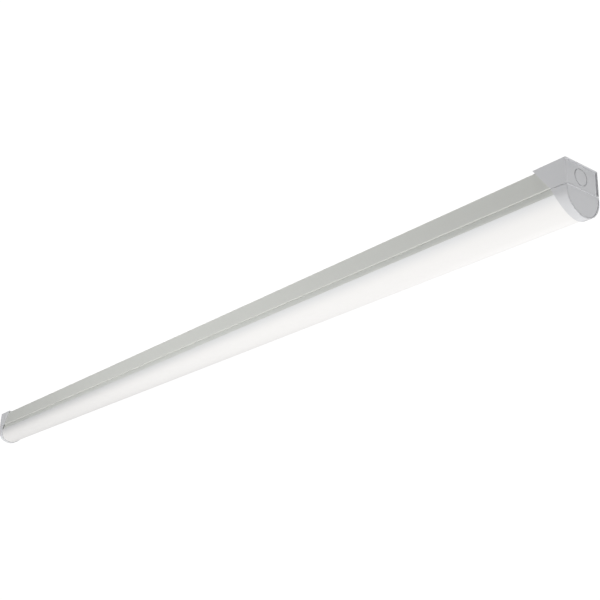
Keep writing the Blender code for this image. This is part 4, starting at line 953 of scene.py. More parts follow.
def pan_screw(name, node, place, seat, direction, shank, finish, body):
    """A slotted pan-head screw. The head's height at radius r is full height times sqrt(1 - (r /
    R)^3), with its slot no higher than the slot's floor; halves beside the slot, the slot strip and
    its walls are grids of their own."""
    radius, height, slot, floor_height = 0.0028, 0.0017, 0.0004, 0.0010
    stem_radius, point_radius, point_length = 0.0015, 0.0005, 0.0015
    across_steps, rise_steps = 16, 8
    across = np.linspace(-1.0, 1.0, across_steps + 1)
    rise = slot + (radius - slot) * np.sin(np.linspace(0.0, math.pi / 2, rise_steps + 1))

    def head(y, limit=height):
        """A grid over the head, one row for each y, with each row's x kept inside the head's circle."""
        x = across[None, :] * np.sqrt(np.clip(radius ** 2 - y[:, None] ** 2, 0.0, None))
        y = np.broadcast_to(y[:, None], x.shape)
        share = np.clip(np.hypot(x, y) / radius, 0.0, 1.0)
        top = np.minimum(height * np.sqrt(1.0 - share ** 3), limit)
        return np.stack([x, y, top * direction], axis=-1)

    upper, lower = head(rise), head(-rise)
    strip = head(np.linspace(-slot, slot, 3), floor_height)
    patches = [skin(upper), skin(lower), skin(strip),
               skin(np.stack([upper[0], strip[-1]])), skin(np.stack([lower[0], strip[0]]))]
    rim = np.concatenate([strip[::-1, -1][:2], lower[:, -1], lower[::-1, 0][1:], strip[:, 0][1:],
                          upper[:, 0], upper[::-1, -1][1:]])
    angles = np.arctan2(rim[:, 1], rim[:, 0])
    ring = np.column_stack([np.cos(angles), np.sin(angles), np.zeros(len(rim))])
    stem = [rim * [1.0, 1.0, 0.0], ring * stem_radius]
    stem += [ring * r - [0.0, 0.0, z * direction]
             for r, z in ((stem_radius, shank), (point_radius, shank + point_length))]
    stem = np.array(stem)
    patches += [skin(stem, round_columns=True), lid(stem[-1])]
    piece(name, moved(patches, (*place, seat)), finish, body, [node], sharp=40.0, merge=4e-6)


def screws(kind, count, seat, direction, shank, finish):
    """The tray's numbered screws of one kind, each where its solid is."""
    for number in range(1, count + 1):
        node = "%s_screw_%d" % (kind, number)
        low, high = solid_box(node)
        place = tuple((low + high)[:2] / 2)
        pan_screw("%s_pan_screw_%d" % (kind, number), node, place, seat, direction, shank, finish, "tray")


def release_button(pole, finish):
    """A release button: a soft-cornered block with a shallow dimple in the face that a finger presses."""
    node = "terminal_button_" + pole
    low, high = solid_box(node)
    face, back = low[2], high[2]
    corner, ease, back_ease, dimple = 0.0006, 0.0004, 0.0002, 0.0015
    bowl = [(0.0004, 0.0004), (0.0008, 0.00036), (0.0013, 0.0001), (dimple, 0.0)]
    rows = [(radius, face + deep, True) for radius, deep in bowl]
    rows += [(ease, face), (ease / 4, face + ease / 4), (0.0, face + ease), (0.0, back - back_ease),
             (back_ease, back)]
    middle = (low + high) / 2
    patches = moulded((middle[0], middle[1], 0.0), (high - low)[:2] / 2, corner, rows)
    piece("release_button_" + pole, patches, finish, body_of(frame["nodes"][node])[0], [node], sharp=40.0)


def folded_lid(finish):
    """The driver's folded cover: a top and two skirts, its section carried along X."""
    low, high = solid_box("driver_lid")
    wall, stations = 0.001, 5
    half = high[1] - wall / 2
    top = high[2] - wall / 2
    path = [(half, low[2]), (half, top), (-half, top), (-half, low[2])]
    faces = folded_sheet(path, [wall, wall], wall)
    piece("driver_cover", sheet_wall(faces, np.linspace(low[0], high[0], stations)), finish, "tray",
          ["driver_lid"])


def spring_clip(number, finish):
    """A spring clip: a strip folded out from its base to two shoulders and in again
    at its tips, carried along X."""
    low, high = solid_box("tray_clip_%d" % number)
    thick, clearance, bend = 0.0005, 0.0003, 0.0015
    tip_in, tip_rise, shoulder_rise, base_half = 0.006, 0.0125, 0.0057, 0.013
    shoulder = lip_inner - clearance - thick / 2
    web_top = web_under + tray_sheet
    half = [(shoulder - tip_in, web_top + tip_rise), (shoulder, web_top + shoulder_rise),
            (base_half, low[2] + thick / 2)]
    path = half + [(-y, z) for y, z in reversed(half)]
    faces = folded_sheet(path, [bend] * 4, thick, 6)
    piece("spring_clip_%d" % number, sheet_wall(faces, [low[0], high[0]]), finish, "tray",
          ["tray_clip_%d" % number], sharp=50.0)


def strap_path(place):
    """The strap's middle line in (x, z), from the spine's tab down to the tray's: a
    flat run, eight folds, a run."""
    clearance, lap = 0.0003, 0.0025
    reach = place + tab_sheet / 2 + clearance + strap_thick / 2
    top = spine_top - spine_sheet - tab_rise
    bottom = web_under + tray_sheet + tab_rise
    fold, pitch, folds = 0.016, 0.0026, 8
    step = (top - bottom - pitch) / folds
    number = np.arange(folds)
    level = top - pitch / 2 - step / 2 - step * number
    swing = np.where(number % 2 == 1, -fold / 2, fold / 2) + place
    there = np.stack([swing, level + step / 6], axis=-1)
    back = np.stack([2 * place - swing, level - step / 6], axis=-1)
    head = [(reach, top + lap), (reach, top - pitch / 2)]
    tail = [(reach, bottom + pitch / 2), (reach, bottom - lap)]
    return np.concatenate([head, np.stack([there, back], axis=1).reshape(-1, 2), tail])


def hanging_strap(name, place, finish):
    """A folded webbing strap. Across the strap the half thickness is t sqrt(1 - (y / half width)^6), so its
    selvedges are round. Each point keeps its place in the weave, along and across, as an attribute."""
    half_width, bend, across_steps = 0.004, 0.00064, 14
    path = strap_path(place)
    one, other = folded_sheet(path, [bend] * (len(path) - 2), strap_thick, 5)
    middle, normal = (one + other) / 2, (one - other) / strap_thick
    across = np.sin(np.linspace(-math.pi / 2, math.pi / 2, across_steps + 1)) * half_width
    half = strap_thick / 2 * np.sqrt(np.clip(1.0 - (across / half_width) ** 6, 0.0, None))
    around = np.concatenate([across, across[-2:0:-1]])
    lift = np.concatenate([half, -half[-2:0:-1]])
    grid = np.empty((len(middle), len(around), 3))
    grid[..., 0] = middle[:, :1] + normal[:, :1] * lift
    grid[..., 1] = around
    grid[..., 2] = middle[:, 1:] + normal[:, 1:] * lift
    patches = [skin(grid, round_columns=True), lid(grid[0]), lid(grid[-1])]
    made = piece(name + "_webbing", patches, finish, None, [name + "_strap"], sharp=60.0, even=False)
    lay_weave(made, middle)
    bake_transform(made, "spine", "tray", (place, 0.0, path[1][1]), (place, 0.0, path[-2][1]))


def mesh_points(made):
    """The points of a piece's mesh, one row each."""
    flat = np.empty(len(made.data.vertices) * 3)
    made.data.vertices.foreach_get("co", flat)
    return flat.reshape(-1, 3)


def lay_places(made, label, places):
    """Writes three numbers for each point of a piece as a named attribute."""
    made.data.attributes.new(label, "FLOAT_VECTOR", "POINT").data.foreach_set("vector", np.ravel(places))


def lay_weave(made, middle):
    """Writes each point's place in the weave: the length along the strap at the
    nearest station, and its y."""
    length = np.concatenate([[0.0], np.cumsum(np.linalg.norm(np.diff(middle, axis=0), axis=1))])
    points = mesh_points(made)
    apart = np.hypot(points[:, :1] - middle[None, :, 0], points[:, 2:] - middle[None, :, 1])
    along = length[np.argmin(apart, axis=1)]
    lay_places(made, "weave_place", np.column_stack([along, points[:, 1], np.zeros(len(points))]))


def wire(name, node, points, finish, body, crossing=None, sides=16):
    """An insulated wire along its eased route, with its place round the wire as an attribute. A wire
    that crosses from the spine to the tray is blended between them, from where it leaves one to
    where it reaches the other."""
    bend = 0.008
    route = eased_route(points, bend)
    patches = tube(route, wire_radius, sides)
    made = piece(name, patches, finish, None if crossing else body, [node], sharp=60.0, even=False)
    lay_stripe(made, route)
    if crossing:
        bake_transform(made, "spine", "tray", crossing[0], crossing[1])


def lay_stripe(made, route):
    """Writes each point's place round its wire, sideways and upwards from the
    nearest station, and along it."""
    station_step = 0.001
    points = mesh_points(made)
    nearest = np.argmin(np.linalg.norm(points[:, None] - route[None], axis=2), axis=1)
    one, other = swept_frames(route)
    out = points - route[nearest]
    lay_places(made, "wire_place",
               np.column_stack([np.sum(out * one[nearest], axis=1), np.sum(out * other[nearest], axis=1),
                                nearest * station_step]))


def ring_tag(name, place, low, finish, body):
    """A flat ring tag with eased edges, turned about its stud."""
    inner, outer, ease, bore_ease = 0.0022, 0.0062, 0.0002, 0.0001
    profile = [(inner + bore_ease, 0.0), (outer - ease, 0.0), (outer, ease), (outer, tag_thick - ease),
               (outer - ease, tag_thick), (inner + bore_ease, tag_thick), (inner, tag_thick - bore_ease),
               (inner, bore_ease)]
    piece(name, turned(profile, (*place, low), 48, closed=True), finish, body, sharp=40.0)


# Wiring

def driver_wire_end(end):
    """Where a lead stops inside a driver terminal, and where it has cleared it.
    end is +1 input, -1 output."""
    inside, clear = 0.0037, 0.0024
    low, high = solid_box("driver_input" if end > 0 else "driver_output")
    face = high[0] if end > 0 else low[0]
    return face - end * inside, face + end * clear


def mains_wires(finishes):
    """The live and neutral leads, from the terminal block down to the driver's input.
    They bow outwards on the way."""
    stop, arrive = driver_wire_end(1)
    top, bottom, bow = wire_level, driver_wire_level, 0.01445
    middle, room = (block_exit + arrive) / 2, (block_exit - arrive) / 4
    for pole, side in (("live", -1), ("neutral", 1)):
        out, home = side * pole_pitch, side * driver_pitch
        points = [(wire_start, out, top), (block_exit, out, top),
                  (middle + room, side * bow, top + (bottom - top) * 0.25),
                  (middle - room, side * bow, top + (bottom - top) * 0.75), (arrive, home, bottom),
                  (stop, home, bottom)]
        crossing = ((block_exit, out, top), (arrive, home, bottom))
        wire(pole + "_wire", pole + "_lead", points, finishes[pole], None, crossing)


def spine_earth_wire(finish, tag_finish):
    """The short earth lead from the far side of the terminal block up to the ring tag on the spine's stud."""
    start, leave = 0.0835, 0.096
    middle = spine_tag_level - tag_thick / 2
    arrive = spine_stud - tag_reach
    wire("spine_earth_wire", "spine_earth_lead", [
        (start, 0.0, wire_level), (leave, 0.0, wire_level),
        ((leave + arrive) / 2, 0.0, (wire_level + middle) / 2), (arrive - wire_radius, 0.0, middle),
        (arrive + wire_radius / 2, 0.0, middle)], finish, "spine")
    ring_tag("spine_earth_tag", (spine_stud, 0.0), spine_tag_level - tag_thick, tag_finish, "spine")


def tray_earth_wire(finish, tag_finish):
    """The earth lead from the terminal block down to the ring tag on the tray's stud, in an easy S."""
    low, high = wire_level, tray_tag_level + tag_thick / 2
    fall = high - low
    radius = wire_radius
    arrive = tray_stud + tag_reach
    points = [(wire_start, 0.0, low), (block_exit, 0.0, low - radius / 2),
              (block_exit - 3 * radius, 0.0, low + fall * 0.25), (block_exit - radius, 0.0, low + fall * 0.7),
              (arrive + 3 * radius, 0.0, high + radius / 2), (arrive + radius, 0.0, high),
              (arrive - radius / 2, 0.0, high)]
    wire("tray_earth_wire", "tray_earth_lead", points, finish, None,
         ((block_exit, 0.0, low), (arrive + radius, 0.0, high)))
    ring_tag("tray_earth_tag", (tray_stud, 0.0), tray_tag_level, tag_finish, "tray")


def output_wires(finishes):
    """The pair from the driver's output, down through the tray's hole to the
    second board's outer connector."""
    clearance = 0.0003
    stop, leave = driver_wire_end(-1)
    below = board_under - connector_half_height
    connector = solid_box("led_board_2")[0][0] + connector_inset
    face = connector_side + connector_half_width + clearance
    radius, apart = wire_radius, 0.0015
    hole = lead_hole[0]
    for name, side in (("positive", 1), ("negative", -1)):
        across = lead_hole[1] + side * apart
        end = connector - side * apart
        home = side * driver_pitch
        wire("output_wire_" + name, "output_lead_" + name, [
            (stop, home, driver_wire_level), (leave, home, driver_wire_level),
            (hole + 4 * radius, across, web_under + tray_sheet + 3 * radius), (hole, across, web_under),
            (hole - 4 * radius, across, below), (end + 4 * radius, across, below),
            (end, face + 3 * radius, below), (end, face, below)], finishes[name], "tray")


def board_link_wires(finish):
    """A short link between each pair of neighbouring boards, which sags by half its radius."""
    level = board_under - connector_half_height
    for number in (1, 2, 3):
        node = "board_link_%d" % number
        start, stop = (corner[0] for corner in solid_box(node))
        wire("board_link_wire_%d" % number, node, [
            (start, connector_side, level), ((start + stop) / 2, connector_side, level - wire_radius / 2),
            (stop, connector_side, level)], finish, "tray", sides=12)


# Led boards

def board_strip(half):
    """Patches of a board's strip: a plate with a screw hole near each end and its long edges."""
    top, half_width = board_under + board_thick, 0.010
    hole, reach, margin, ease, from_end = 0.0018, 0.006, 0.0005, 0.0001, 0.012
    rows = through_rows(flat_rows(top, hole + margin), flat_rows(board_under, hole + margin), hole, 0.0,
                        ease)
    cells = {end * (half - from_end): (reach, 0.0, [rows]) for end in (-1, 1)}
    patches, stations = plate(half_width, top, board_under, (-half, half), cells)
    edge = np.array([[(x, half_width, z) for x in stations] for z in (top, board_under)])
    return patches + [skin(edge), skin(edge * [1.0, -1.0, 1.0])]


def led_packages(half):
    """Patches of the row of led packages under a board, and of the phosphor windows in them."""
    count, from_end, height = 20, 0.024, 0.0008
    halves, corner, ease, window, window_corner = (0.00175, 0.0014), 0.0002, 0.0001, 0.00104, 0.0004
    seat, face = board_under + ease, board_under - height
    well = [(0.00112, 0.0), (0.00105, ease)]
    dome = [(window, 0.0003), (window, 0.00012), (0.0006, 0.00005), (0.0, 0.00003)]
    body_rows = [(0.0, seat), (0.0, face + ease), (ease, face)]
    body_rows += [(radius, face + deep, True) for radius, deep in well]
    window_rows = [(radius, face + deep, True) for radius, deep in dome]
    bodies, windows = [], []
    for x in np.linspace(-half + from_end, half - from_end, count):
        bodies += moulded((x, 0.0, 0.0), halves, corner, body_rows)
        windows += moulded((x, 0.0, 0.0), (window, window), window_corner, window_rows)
    return bodies, windows


def board_connectors(half):
    """Patches of the connector at each end of a board, with a round socket that
    opens towards the board's end."""
    reach, ease, corner = 0.003, 0.0002, 0.0002
    mouth, throat, bore, bore_stop = 0.00125, 0.00115, 0.0011, 0.0016
    patches = []
    for end in (-1, 1):
        rows = [(ease, -reach), (0.0, -reach + ease), (0.0, reach - ease), (ease, reach),
                (mouth, reach, True), (throat, reach - ease, True), (bore, bore_stop, True)]
        rows = [(row[0], end * (half - connector_inset + row[1]), *row[2:]) for row in rows]
        patches += moulded((0.0, connector_side, board_under - connector_half_height),
                           (connector_half_width, connector_half_height), corner, rows, axis=0)
    return patches


def led_board(number, enamel, phosphor, housing):
    """A led board: a drilled strip, a row of led packages with phosphor windows,
    and a connector at each end."""
    low, high = solid_box("led_board_%d" % number)
    centre = ((low[0] + high[0]) / 2, 0.0, 0.0)
    half = (high[0] - low[0]) / 2
    bodies, windows = led_packages(half)
    piece("led_board_strip_%d" % number, moved(board_strip(half) + bodies, centre), enamel, "tray",
          ["led_board_%d" % number], sharp=30.0)
    piece("led_phosphor_%d" % number, moved(windows, centre), phosphor, "tray", sharp=50.0)
    piece("led_connectors_%d" % number, moved(board_connectors(half), centre), housing, "tray", sharp=40.0)


# Finishes

def new_group(name, inputs, outputs):
    """An empty shader node group with named inputs and outputs, given as (name, socket kind, default)."""
    group = bpy.data.node_groups.new(name, "ShaderNodeTree")
    for label, kind, value in inputs:
        socket = group.interface.new_socket(label, in_out="INPUT", socket_type=kind)
        socket.default_value = value
    for label, kind in outputs:
        group.interface.new_socket(label, in_out="OUTPUT", socket_type=kind)
    return group, group.nodes.new("NodeGroupInput"), group.nodes.new("NodeGroupOutput")


def feed(tree, socket, value):
    """Links a socket to another, or gives it a number or a colour."""
    if isinstance(value, bpy.types.NodeSocket):
        tree.links.new(value, socket)
    else:
        socket.default_value = value


def maths(tree, operation, first, second, clamp=False):
    """A maths node fed by sockets or numbers."""
    node = tree.nodes.new("ShaderNodeMath")
    node.operation = operation
    node.use_clamp = clamp
    feed(tree, node.inputs[0], first)
    feed(tree, node.inputs[1], second)
    return node.outputs[0]


def noise(tree, place, scale, detail, rough):
    """A noise texture's value at a place, with its scale from a socket."""
    node = tree.nodes.new("ShaderNodeTexNoise")
    node.inputs["Detail"].default_value = detail
    node.inputs["Roughness"].default_value = rough
    tree.links.new(place, node.inputs["Vector"])
    tree.links.new(scale, node.inputs["Scale"])
    return node.outputs["Fac"]


def mix_colours(tree, share, first, second):
    """A mix of two colours, each a socket or a fixed colour, by a share from a socket."""
    node = tree.nodes.new("ShaderNodeMix")
    node.data_type = "RGBA"
    feed(tree, node.inputs["Factor"], share)
    feed(tree, node.inputs["A"], first)
    feed(tree, node.inputs["B"], second)
    return node.outputs["Result"]


def shaded(colour, by):
    """A colour with each channel multiplied by the same share."""
    return tuple(channel * by for channel in colour)


def fine_surface_group():
    """A fine skin over a slow unevenness: Height for a bump, Roughness that wanders,
    and a Mottle between 0 and 1."""
    group, given, result = new_group(
        "fine_surface",
        [("Grain Scale", "NodeSocketFloat", 1500.0), ("Slow Scale", "NodeSocketFloat", 40.0),
         ("Grain Share", "NodeSocketFloat", 0.7), ("Roughness", "NodeSocketFloat", 0.4),
         ("Roughness Spread", "NodeSocketFloat", 0.05), ("Stretch", "NodeSocketVector", (1.0, 1.0, 1.0))],
        [("Height", "NodeSocketFloat"), ("Roughness", "NodeSocketFloat"), ("Mottle", "NodeSocketFloat")])
    where = group.nodes.new("ShaderNodeTexCoord").outputs["Object"]
    scaled = group.nodes.new("ShaderNodeVectorMath")
    scaled.operation = "MULTIPLY"
    group.links.new(where, scaled.inputs[0])
    group.links.new(given.outputs["Stretch"], scaled.inputs[1])
    place = scaled.outputs[0]
    grain = noise(group, place, given.outputs["Grain Scale"], detail=2.0, rough=0.5)
    slow = noise(group, place, given.outputs["Slow Scale"], detail=3.0, rough=0.55)
    share = given.outputs["Grain Share"]
    weighed = maths(group, "MULTIPLY", grain, share)
    rest = maths(group, "MULTIPLY", slow, maths(group, "SUBTRACT", 1.0, share))
    group.links.new(maths(group, "ADD", weighed, rest), result.inputs["Height"])
    wander = maths(group, "MULTIPLY", maths(group, "SUBTRACT", slow, 0.5), given.outputs["Roughness Spread"])
    uneven = maths(group, "ADD", given.outputs["Roughness"], wander, clamp=True)
    group.links.new(uneven, result.inputs["Roughness"])
    group.links.new(slow, result.inputs["Mottle"])
    return group


def finish_of(name, slot, colour, other_colour, rough, spread=0.06, grain=1500.0, slow=40.0, share=0.7,
              bump=0.1, depth=0.00002, stretch=(1.0, 1.0, 1.0), metallic=0.0, coat=0.0, coat_rough=0.1,
              specular=0.5):
    """A finish with two close colours that drift into each other, a wandering roughness and a fine bump."""
    made = bpy.data.materials.new(name)
    made.use_nodes = True
    made.diffuse_color = (*colour, 1.0)
    if slot:
        made["slot"] = slot
    tree = made.node_tree
    shader = tree.nodes["Principled BSDF"]
    surface = tree.nodes.new("ShaderNodeGroup")
    surface.node_tree = bpy.data.node_groups["fine_surface"]
    surface.inputs["Grain Scale"].default_value = grain
    surface.inputs["Slow Scale"].default_value = slow
    surface.inputs["Grain Share"].default_value = share
    surface.inputs["Roughness"].default_value = rough
    surface.inputs["Roughness Spread"].default_value = spread
    surface.inputs["Stretch"].default_value = stretch
    tree.links.new(mix_colours(tree, surface.outputs["Mottle"], (*colour, 1.0), (*other_colour, 1.0)),
                   shader.inputs["Base Color"])
    tree.links.new(surface.outputs["Roughness"], shader.inputs["Roughness"])
    bumped = tree.nodes.new("ShaderNodeBump")
    bumped.inputs["Strength"].default_value = bump
    bumped.inputs["Distance"].default_value = depth
    tree.links.new(surface.outputs["Height"], bumped.inputs["Height"])
    tree.links.new(bumped.outputs["Normal"], shader.inputs["Normal"])
    shader.inputs["Metallic"].default_value = metallic
    shader.inputs["Coat Weight"].default_value = coat
    shader.inputs["Coat Roughness"].default_value = coat_rough
    shader.inputs["Specular IOR Level"].default_value = specular
    return made


def faded_by_height_and_length(tree, low, high, start, stop):
    """Two eased shares of a place on the batten: how far down from high to low, and how far along to stop."""
    parts = tree.nodes.new("ShaderNodeSeparateXYZ")
    tree.links.new(tree.nodes.new("ShaderNodeTexCoord").outputs["Object"], parts.inputs[0])
    shares = []
    for axis, first, last in (("Z", high, low), ("X", start, stop)):
        share = tree.nodes.new("ShaderNodeMapRange")
        share.interpolation_type = "SMOOTHSTEP"
        share.inputs["From Min"].default_value = first
        share.inputs["From Max"].default_value = last
        tree.links.new(parts.outputs[axis], share.inputs["Value"])
        shares.append(share.outputs["Result"])
    return shares


def add_painted_glow(finish, painted_top_glow, painted_bottom_glow, far_shade_share):
    """Painted light: an emission standing in for light scattered through the opal wall, cooler and dimmer
    by the tray, warmer below, and weaker at the far end as painted shade."""
    tree = finish.node_tree
    shader = tree.nodes["Principled BSDF"]
    bottom_glow_share = 0.7
    bottom_glow_level = -bowl_drop - diffuser_outer * bottom_glow_share
    depth, along = faded_by_height_and_length(tree, bottom_glow_level, diffuser_top, -half_length, half_length)
    near = mix_colours(tree, depth, (*painted_top_glow, 1.0), (*painted_bottom_glow, 1.0))
    far = mix_colours(tree, depth, (*shaded(painted_top_glow, far_shade_share), 1.0),
                      (*shaded(painted_bottom_glow, (1.0 + far_shade_share) / 2), 1.0))
    tree.links.new(mix_colours(tree, along, far, near), shader.inputs["Emission Color"])
    shader.inputs["Emission Strength"].default_value = 1.0


def attribute_place(tree, name):
    """The three numbers of a named attribute, as sockets."""
    node = tree.nodes.new("ShaderNodeAttribute")
    node.attribute_name = name
    parts = tree.nodes.new("ShaderNodeSeparateXYZ")
    tree.links.new(node.outputs["Vector"], parts.inputs[0])
    return parts.outputs


def add_stripe(finish, colour, steepness=9000.0, start=1.5):
    """A second colour along one side of a wire: its share is steepness times the
    sideways place, less start."""
    tree = finish.node_tree
    shader = tree.nodes["Principled BSDF"]
    drifting = shader.inputs["Base Color"].links[0].from_socket
    place = attribute_place(tree, "wire_place")
    edge = maths(tree, "ADD", maths(tree, "MULTIPLY", place[0], steepness), -start, clamp=True)
    tree.links.new(mix_colours(tree, edge, drifting, (*colour, 1.0)), shader.inputs["Base Color"])


def add_weave(finish, rib, pick, painted_gap_shade):
    """A woven band: ribs |sin(pi y / rib)| with picks cos(2 pi (length / pick + half a pick on each other
    rib)), and painted shade, a darker colour, down between the threads."""
    pick_share, strength, depth = 0.3, 0.8, 0.00018
    tree = finish.node_tree
    shader = tree.nodes["Principled BSDF"]
    place = attribute_place(tree, "weave_place")
    across = maths(tree, "MULTIPLY", place[1], 1.0 / rib)
    ribs = maths(tree, "ABSOLUTE", maths(tree, "SINE", maths(tree, "MULTIPLY", across, math.pi), 0.0), 0.0)
    each_other = maths(tree, "FLOORED_MODULO", maths(tree, "FLOOR", across, 0.0), 2.0)
    half_step = maths(tree, "MULTIPLY", each_other, 0.5)
    along = maths(tree, "ADD", maths(tree, "MULTIPLY", place[0], 1.0 / pick), half_step)
    picks = maths(tree, "COSINE", maths(tree, "MULTIPLY", along, 2 * math.pi), 0.0)
    lift = maths(tree, "ADD", maths(tree, "MULTIPLY", picks, pick_share), 1.0 - pick_share)
    height = maths(tree, "MULTIPLY", ribs, lift)
    bump = tree.nodes.new("ShaderNodeBump")
    bump.inputs["Strength"].default_value = strength
    bump.inputs["Distance"].default_value = depth
    tree.links.new(height, bump.inputs["Height"])
    tree.links.new(shader.inputs["Normal"].links[0].from_socket, bump.inputs["Normal"])
    tree.links.new(bump.outputs["Normal"], shader.inputs["Normal"])
    drifting = shader.inputs["Base Color"].links[0].from_socket
    # Painted shade: a darker colour where the weave is low, between the threads.
    tree.links.new(mix_colours(tree, height, (*painted_gap_shade, 1.0), drifting), shader.inputs["Base Color"])


fine_surface_group()
paint_colour = (0.672, 0.681, 0.650)
paint_drift = 0.985
cap_colour = (0.698, 0.703, 0.718)
cap_drift = 0.98
opal_colour = (0.35, 0.35, 0.345)
opal_drift = 0.985
# Painted glow for the opal: emission colours standing in for light scattered through the wall, the top one by
# the tray dimmer, and less at the far end as painted shade.
opal_painted_glow_top = (0.474, 0.479, 0.489)
opal_painted_glow_below = (0.562, 0.550, 0.542)
far_painted_shade_share = 0.55
stripe_yellow = (0.80, 0.62, 0.03)
# Painted shade down between the strap's threads.
strap_painted_gap_shade = (0.015, 0.015, 0.016)
strap_rib, strap_pick = 0.00080, 0.00110

spine_paint, tray_paint = (
    finish_of(name, slot, paint_colour, shaded(paint_colour, paint_drift), rough, grain=1100.0, slow=30.0,
              share=0.6, bump=0.25, depth=0.00003)
    for name, slot, rough in (("spine powder coat", "painted_steel", 0.38),
                              ("tray powder coat", "painted_tray_steel", 0.36)))
cap_plastic = finish_of("spark eroded cap plastic", "cap_plastic", cap_colour, shaded(cap_colour, cap_drift),
                        0.48, grain=3200.0, slow=60.0, share=0.85, bump=0.3, depth=0.00003)
opal_plastic = finish_of("opal diffuser plastic", "opal_plastic", opal_colour,
                         shaded(opal_colour, opal_drift), 0.46, grain=900.0, slow=120.0, share=0.5,
                         bump=0.12, stretch=(0.02, 1.0, 1.0), specular=0.12)
# Painted light: the opal finish gets an emission glow, with painted shade toward the far end.
add_painted_glow(opal_plastic, opal_painted_glow_top, opal_painted_glow_below, far_painted_shade_share)
zinc_plate = finish_of("bright zinc plate", "zinc_plated_steel", (0.62, 0.63, 0.65), (0.50, 0.51, 0.54), 0.32,
                       spread=0.25, grain=4200.0, slow=500.0, share=0.5, bump=0.15, metallic=1.0)
spring_strip = finish_of("rolled spring strip", "spring_steel", (0.47, 0.48, 0.50), (0.38, 0.39, 0.42), 0.28,
                         spread=0.2, grain=3000.0, slow=260.0, share=0.6, bump=0.15, stretch=(0.06, 1.0, 1.0),
                         metallic=1.0)
black_rubber = finish_of("matt black rubber", "grommet_rubber", (0.030, 0.030, 0.032), (0.048, 0.048, 0.050),
                         0.72, spread=0.15, grain=5000.0, slow=350.0, share=0.7, bump=0.3)
block_plastic = finish_of("terminal moulding", "terminal_plastic", (0.72, 0.72, 0.69), (0.69, 0.69, 0.67),
                          0.42, grain=4500.0, slow=220.0, share=0.7, bump=0.15)
case_plastic = finish_of("driver case moulding", "driver_plastic", (0.74, 0.74, 0.72), (0.71, 0.71, 0.70),
                         0.46, grain=3800.0, slow=90.0, share=0.75, bump=0.2)
laminate = finish_of("green circuit laminate", "circuit_laminate", (0.035, 0.20, 0.075), (0.030, 0.16, 0.065),
                     0.30, spread=0.12, grain=2600.0, slow=420.0, share=0.5, bump=0.1, coat=0.4,
                     coat_rough=0.15)
enamel = finish_of("white board enamel", "board_enamel", (0.82, 0.83, 0.82), (0.79, 0.80, 0.79), 0.34,
                   grain=3200.0, slow=300.0, share=0.6, bump=0.1)
phosphor = finish_of("led phosphor", None, (0.86, 0.68, 0.16), (0.80, 0.60, 0.12), 0.38, spread=0.1,
                     grain=9000.0, slow=1500.0, share=0.7, bump=0.15, coat=0.3)
plug_plastic = finish_of("connector moulding", None, (0.80, 0.80, 0.76), (0.76, 0.76, 0.73), 0.4,
                         grain=6000.0, slow=600.0, share=0.7, bump=0.1)
button_finishes = {
    pole: finish_of(shade + " button moulding", "button_" + shade, colour, drift, 0.36, grain=6000.0,
                    slow=500.0, bump=0.12)
    for pole, shade, colour, drift in (
        ("live", "brown", (0.17, 0.062, 0.028), (0.15, 0.055, 0.025)),
        ("earth", "green", (0.09, 0.33, 0.06), (0.08, 0.29, 0.055)),
        ("neutral", "blue", (0.03, 0.11, 0.42), (0.028, 0.10, 0.37)))}
wire_finishes = {
    pole: finish_of(shade + " wire insulation", slot, colour, drift, 0.34, grain=5000.0, slow=260.0,
                    share=0.5, bump=0.1)
    for pole, shade, slot, colour, drift in (
        ("live", "brown", "lead_brown", (0.17, 0.062, 0.028), (0.14, 0.052, 0.024)),
        ("neutral", "blue", "lead_blue", (0.03, 0.11, 0.42), (0.027, 0.095, 0.36)),
        ("positive", "red", "lead_red", (0.50, 0.022, 0.018), (0.43, 0.018, 0.015)),
        ("negative", "black", "lead_black", (0.022, 0.022, 0.024), (0.034, 0.034, 0.036)),
        ("earth", "green and yellow", "lead_green", (0.07, 0.30, 0.045), (0.06, 0.26, 0.04)),
        ("link", "white", "lead_white", (0.78, 0.78, 0.76), (0.74, 0.74, 0.72)))}
add_stripe(wire_finishes["earth"], stripe_yellow)
webbing = finish_of("black strap webbing", "strap_nylon", (0.045, 0.045, 0.048), (0.065, 0.065, 0.068), 0.6,
                    spread=0.15, grain=9000.0, slow=700.0, share=0.6, bump=0.2)
add_weave(webbing, strap_rib, strap_pick, strap_painted_gap_shade)

# Pieces in place

spine_shell(spine_paint)
tray_shell(tray_paint)
diffuser_shell(opal_plastic)
for end_side, end_name in ((1, "near"), (-1, "far")):
    spine_cap_shell(end_side, end_name, cap_plastic)
    diffuser_cap_shell(end_side, end_name, cap_plastic)
grommet_ring(black_rubber)
eased_copy("terminal_block", "terminal_block_moulding", block_plastic, block_ease)
for pole, finish in button_finishes.items():
    release_button(pole, finish)
pan_screw("terminal_pan_screw", "terminal_screw", (block_screw_place, 0.0), block_screw_seat, -1,
          block_screw_shank, zinc_plate, "spine")
screws("board", 8, board_screw_seat, -1, board_screw_shank, zinc_plate)
screws("driver", 2, driver_screw_seat, 1, driver_screw_shank, zinc_plate)
for body, place, base, direction in (("spine", spine_stud, spine_top - spine_sheet - stud_gap, -1),
                                     ("tray", tray_stud, web_under + tray_sheet + stud_gap, 1)):
    node = body + "_earth_"
    threaded_stud(body + "_weld_stud", node + "stud", (place, 0.0), base, direction, zinc_plate, body)
    flanged_nut(body + "_flange_nut", node + "nut", (place, 0.0), base + direction * nut_rise, direction,
                zinc_plate, body)
mains_wires(wire_finishes)
spine_earth_wire(wire_finishes["earth"], zinc_plate)
tray_earth_wire(wire_finishes["earth"], zinc_plate)
output_wires(wire_finishes)
board_link_wires(wire_finishes["link"])
for number in range(1, 5):
    led_board(number, enamel, phosphor, plug_plastic)
    spring_clip(number, spring_strip)
eased_copy("driver_base", "driver_case", case_plastic, case_ease)
folded_lid(case_plastic)
eased_copy("driver_board", "driver_circuit", laminate, circuit_ease)
